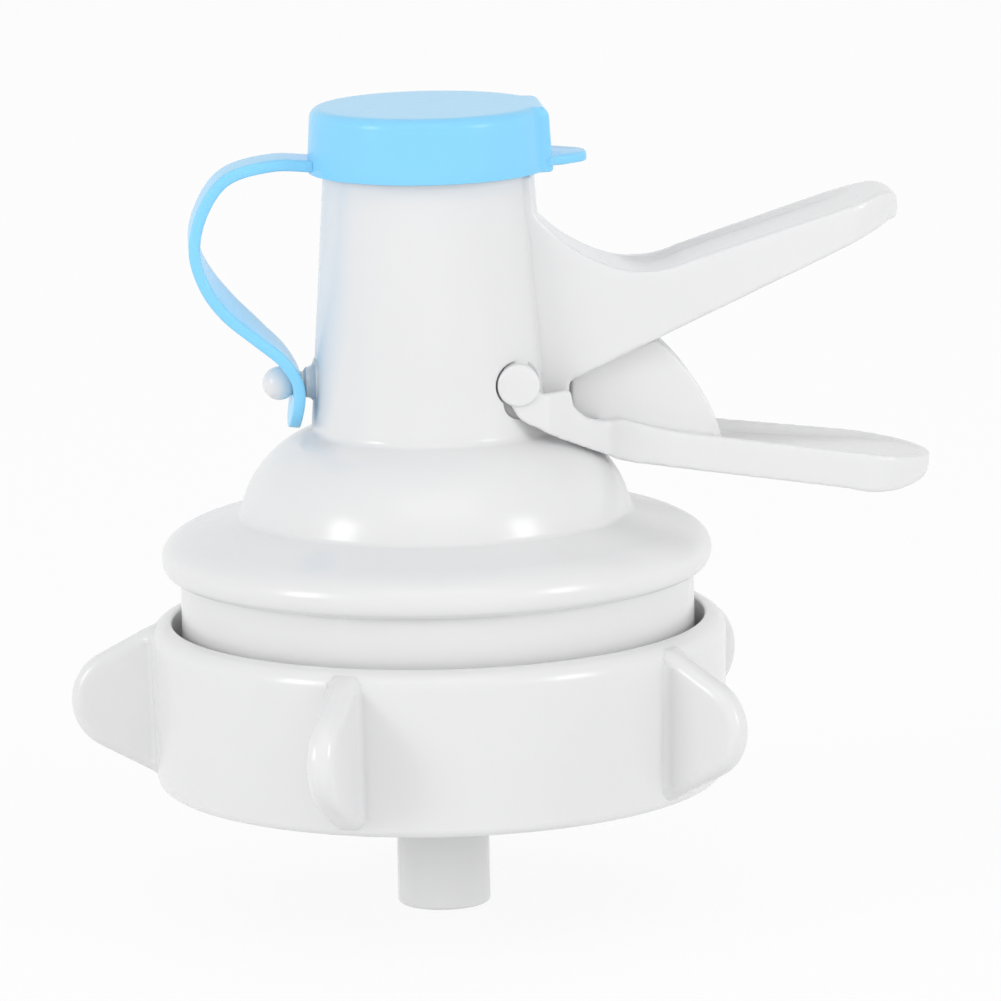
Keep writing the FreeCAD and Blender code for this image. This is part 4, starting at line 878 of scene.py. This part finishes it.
def strap_half(z):
    """Half the band's width at a height: it widens downwards and ends round below the button."""
    share = min(max((CAP_LOW - 2 - z) / (CAP_LOW - 2 - BUTTON_Z - 9), 0.0), 1.0)
    half = STRAP_TOP_HALF + (STRAP_LOW_HALF - STRAP_TOP_HALF) * share * share * (3 - 2 * share)
    if z < BUTTON_Z - TAIL_START:
        depth = (BUTTON_Z - TAIL_START - z) / (STRAP_TAIL - TAIL_START)
        half *= math.sqrt(max(1 - depth * depth * 0.92, 0.02))
    return half


def squared(value):
    """Draw a circle's sine or cosine out towards a square's."""
    return math.copysign(abs(value) ** 0.5, value)


def strap():
    """The band, swept along its route with rounded edges and a slight twist, and pierced for the button."""
    line = through(strap_route(), 10)
    corner = STRAP_THICK / 2
    points = []
    for number, (x, z) in enumerate(line):
        ahead, back = line[min(number + 1, len(line) - 1)], line[max(number - 1, 0)]
        along = Vector((ahead.x - back.x, 0, ahead.y - back.y)).normalized()
        half = strap_half(z)
        swing = math.exp(-((z - BUTTON_Z - TWIST_RISE) / TWIST_RUN) ** 2)
        across = Matrix.Rotation(math.radians(STRAP_TWIST * swing), 3, along) @ Vector((0, 1, 0))
        face = along.cross(across)
        for side in (1, -1):
            for step in range(ROUND_STEPS + 1):
                angle = math.radians(-90 * side + 180 * step / ROUND_STEPS)
                points.append(Vector((x, 0, z)) + across * (side * (half - corner) + corner * squared(math.cos(angle)))
                              + face * (corner * squared(math.sin(angle))))
    band = piece("strap", points, ring_faces(len(line), 2 * ROUND_STEPS + 2), SKY_BLUE, sharp=50.0)
    hole_r, hole_low, hole_high = THROAT_R + HOLE_PLAY, EYE_X - 2, EYE_X + 2.5
    hole = turned("hole", [(0, hole_low), (hole_r, hole_low), (hole_r, hole_high), (0, hole_high)], SKY_BLUE,
                  segments=48, axis="-x", centre=(0, 0, BUTTON_Z))
    combine(band, "DIFFERENCE", [hole])
    smooth(band, sharp=50.0)
    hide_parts("cap_strap")
    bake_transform(band)


strap()

# FEED TUBE
# A short length of extruded white polyethylene tube that reaches into the bottle.
# Its upper end is turned down a little and pressed up into the socket under the valve's cup.
TUBE_R, TUBE_WALL, TUBE_LOW, TUBE_STEP, CUP_LOW = 5.8, 1.2, -38.0, -18.6, -12.1
PLUG_R = TUBE_R - 0.5
# The tube's base colour is whiter than the spout's: partly the tube's own clear white, partly painted light that lifts
# it out of the shade under the nut.
TUBE_WHITE_AND_PAINTED_LIGHT = finish("tube_white_and_painted_light", (0.96, 0.96, 0.965), 0.12, clouding=0.02, milky=0.2)


def feed_tube():
    bore = TUBE_R - TUBE_WALL
    outline = rounded([(bore, TUBE_LOW, 0.3), (TUBE_R, TUBE_LOW, 0.4), (TUBE_R, TUBE_STEP), (PLUG_R, TUBE_STEP),
                       (PLUG_R, CUP_LOW), (bore, CUP_LOW)])
    tube = turned("feed_tube_wall", outline, TUBE_WHITE_AND_PAINTED_LIGHT, segments=96)
    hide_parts("feed_tube")
    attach(tube, "housing")


feed_tube()

# SPRING
# A coil of stainless wire between the guide's cup and the spring cap. It is pressed together as the stem
# goes down, so its lower end stays with the housing and its upper end goes with the valve.
COIL_R, WIRE_R, COIL_LOW, COIL_HIGH = 3.5, 0.4, 9.49, 21.76
TURNS, TURN_STEPS, WIRE_SIDES = 6, 24, 10
BRIGHT_STEEL = finish("bright_steel", (0.62, 0.62, 0.63), 0.22, clouding=0.1, grain=5200.0, ripple=0.04, metallic=1.0)


def spring():
    points = []
    steps = TURN_STEPS * TURNS
    for step in range(steps + 1):
        angle = math.tau * step / TURN_STEPS
        z = COIL_LOW + (COIL_HIGH - COIL_LOW) * step / steps
        for side in range(WIRE_SIDES):
            turn = math.tau * side / WIRE_SIDES
            radius = COIL_R + WIRE_R * math.cos(turn)
            points.append((radius * math.cos(angle), radius * math.sin(angle), z + WIRE_R * math.sin(turn)))
    coil = piece("spring", points, ring_faces(steps + 1, WIRE_SIDES), BRIGHT_STEEL)
    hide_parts("return_spring")
    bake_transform(coil)


spring()

# VALVE AND SEALS
# What closes the water way: a guided push rod with a rubber disc below its seat, and the washers and
# rings about it. These keep their turned CAD forms; each gets the finish of its own material.
INNER_WHITE = finish("inner_white", (0.76, 0.765, 0.765), 0.30, clouding=0.04, ripple=0.05)
SOFT_RUBBER = finish("soft_rubber", (0.62, 0.63, 0.64), 0.5, clouding=0.08, grain=2600.0, ripple=0.12)
SOFT_LINER = finish("soft_liner", (0.78, 0.79, 0.80), 0.4, clouding=0.03, grain=2000.0, ripple=0.08)
FINISHES = {
    INNER_WHITE: ("seat_plate", "stem_guide", "valve_chamber", "valve_stem", "disc_washer", "rocker", "spring_cap",
                  "stem_clip", "grip_ring", "slip_washer"),
    SOFT_RUBBER: ("plate_seal", "neck_gasket", "valve_disc", "axle_seal_near", "axle_seal_far"),
    BRIGHT_STEEL: ("pivot_axle", "axle_clip"),
    SOFT_LINER: ("cap_liner",)}
for material, names in FINISHES.items():
    for name in names:
        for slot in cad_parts[name].material_slots:
            slot.material = material
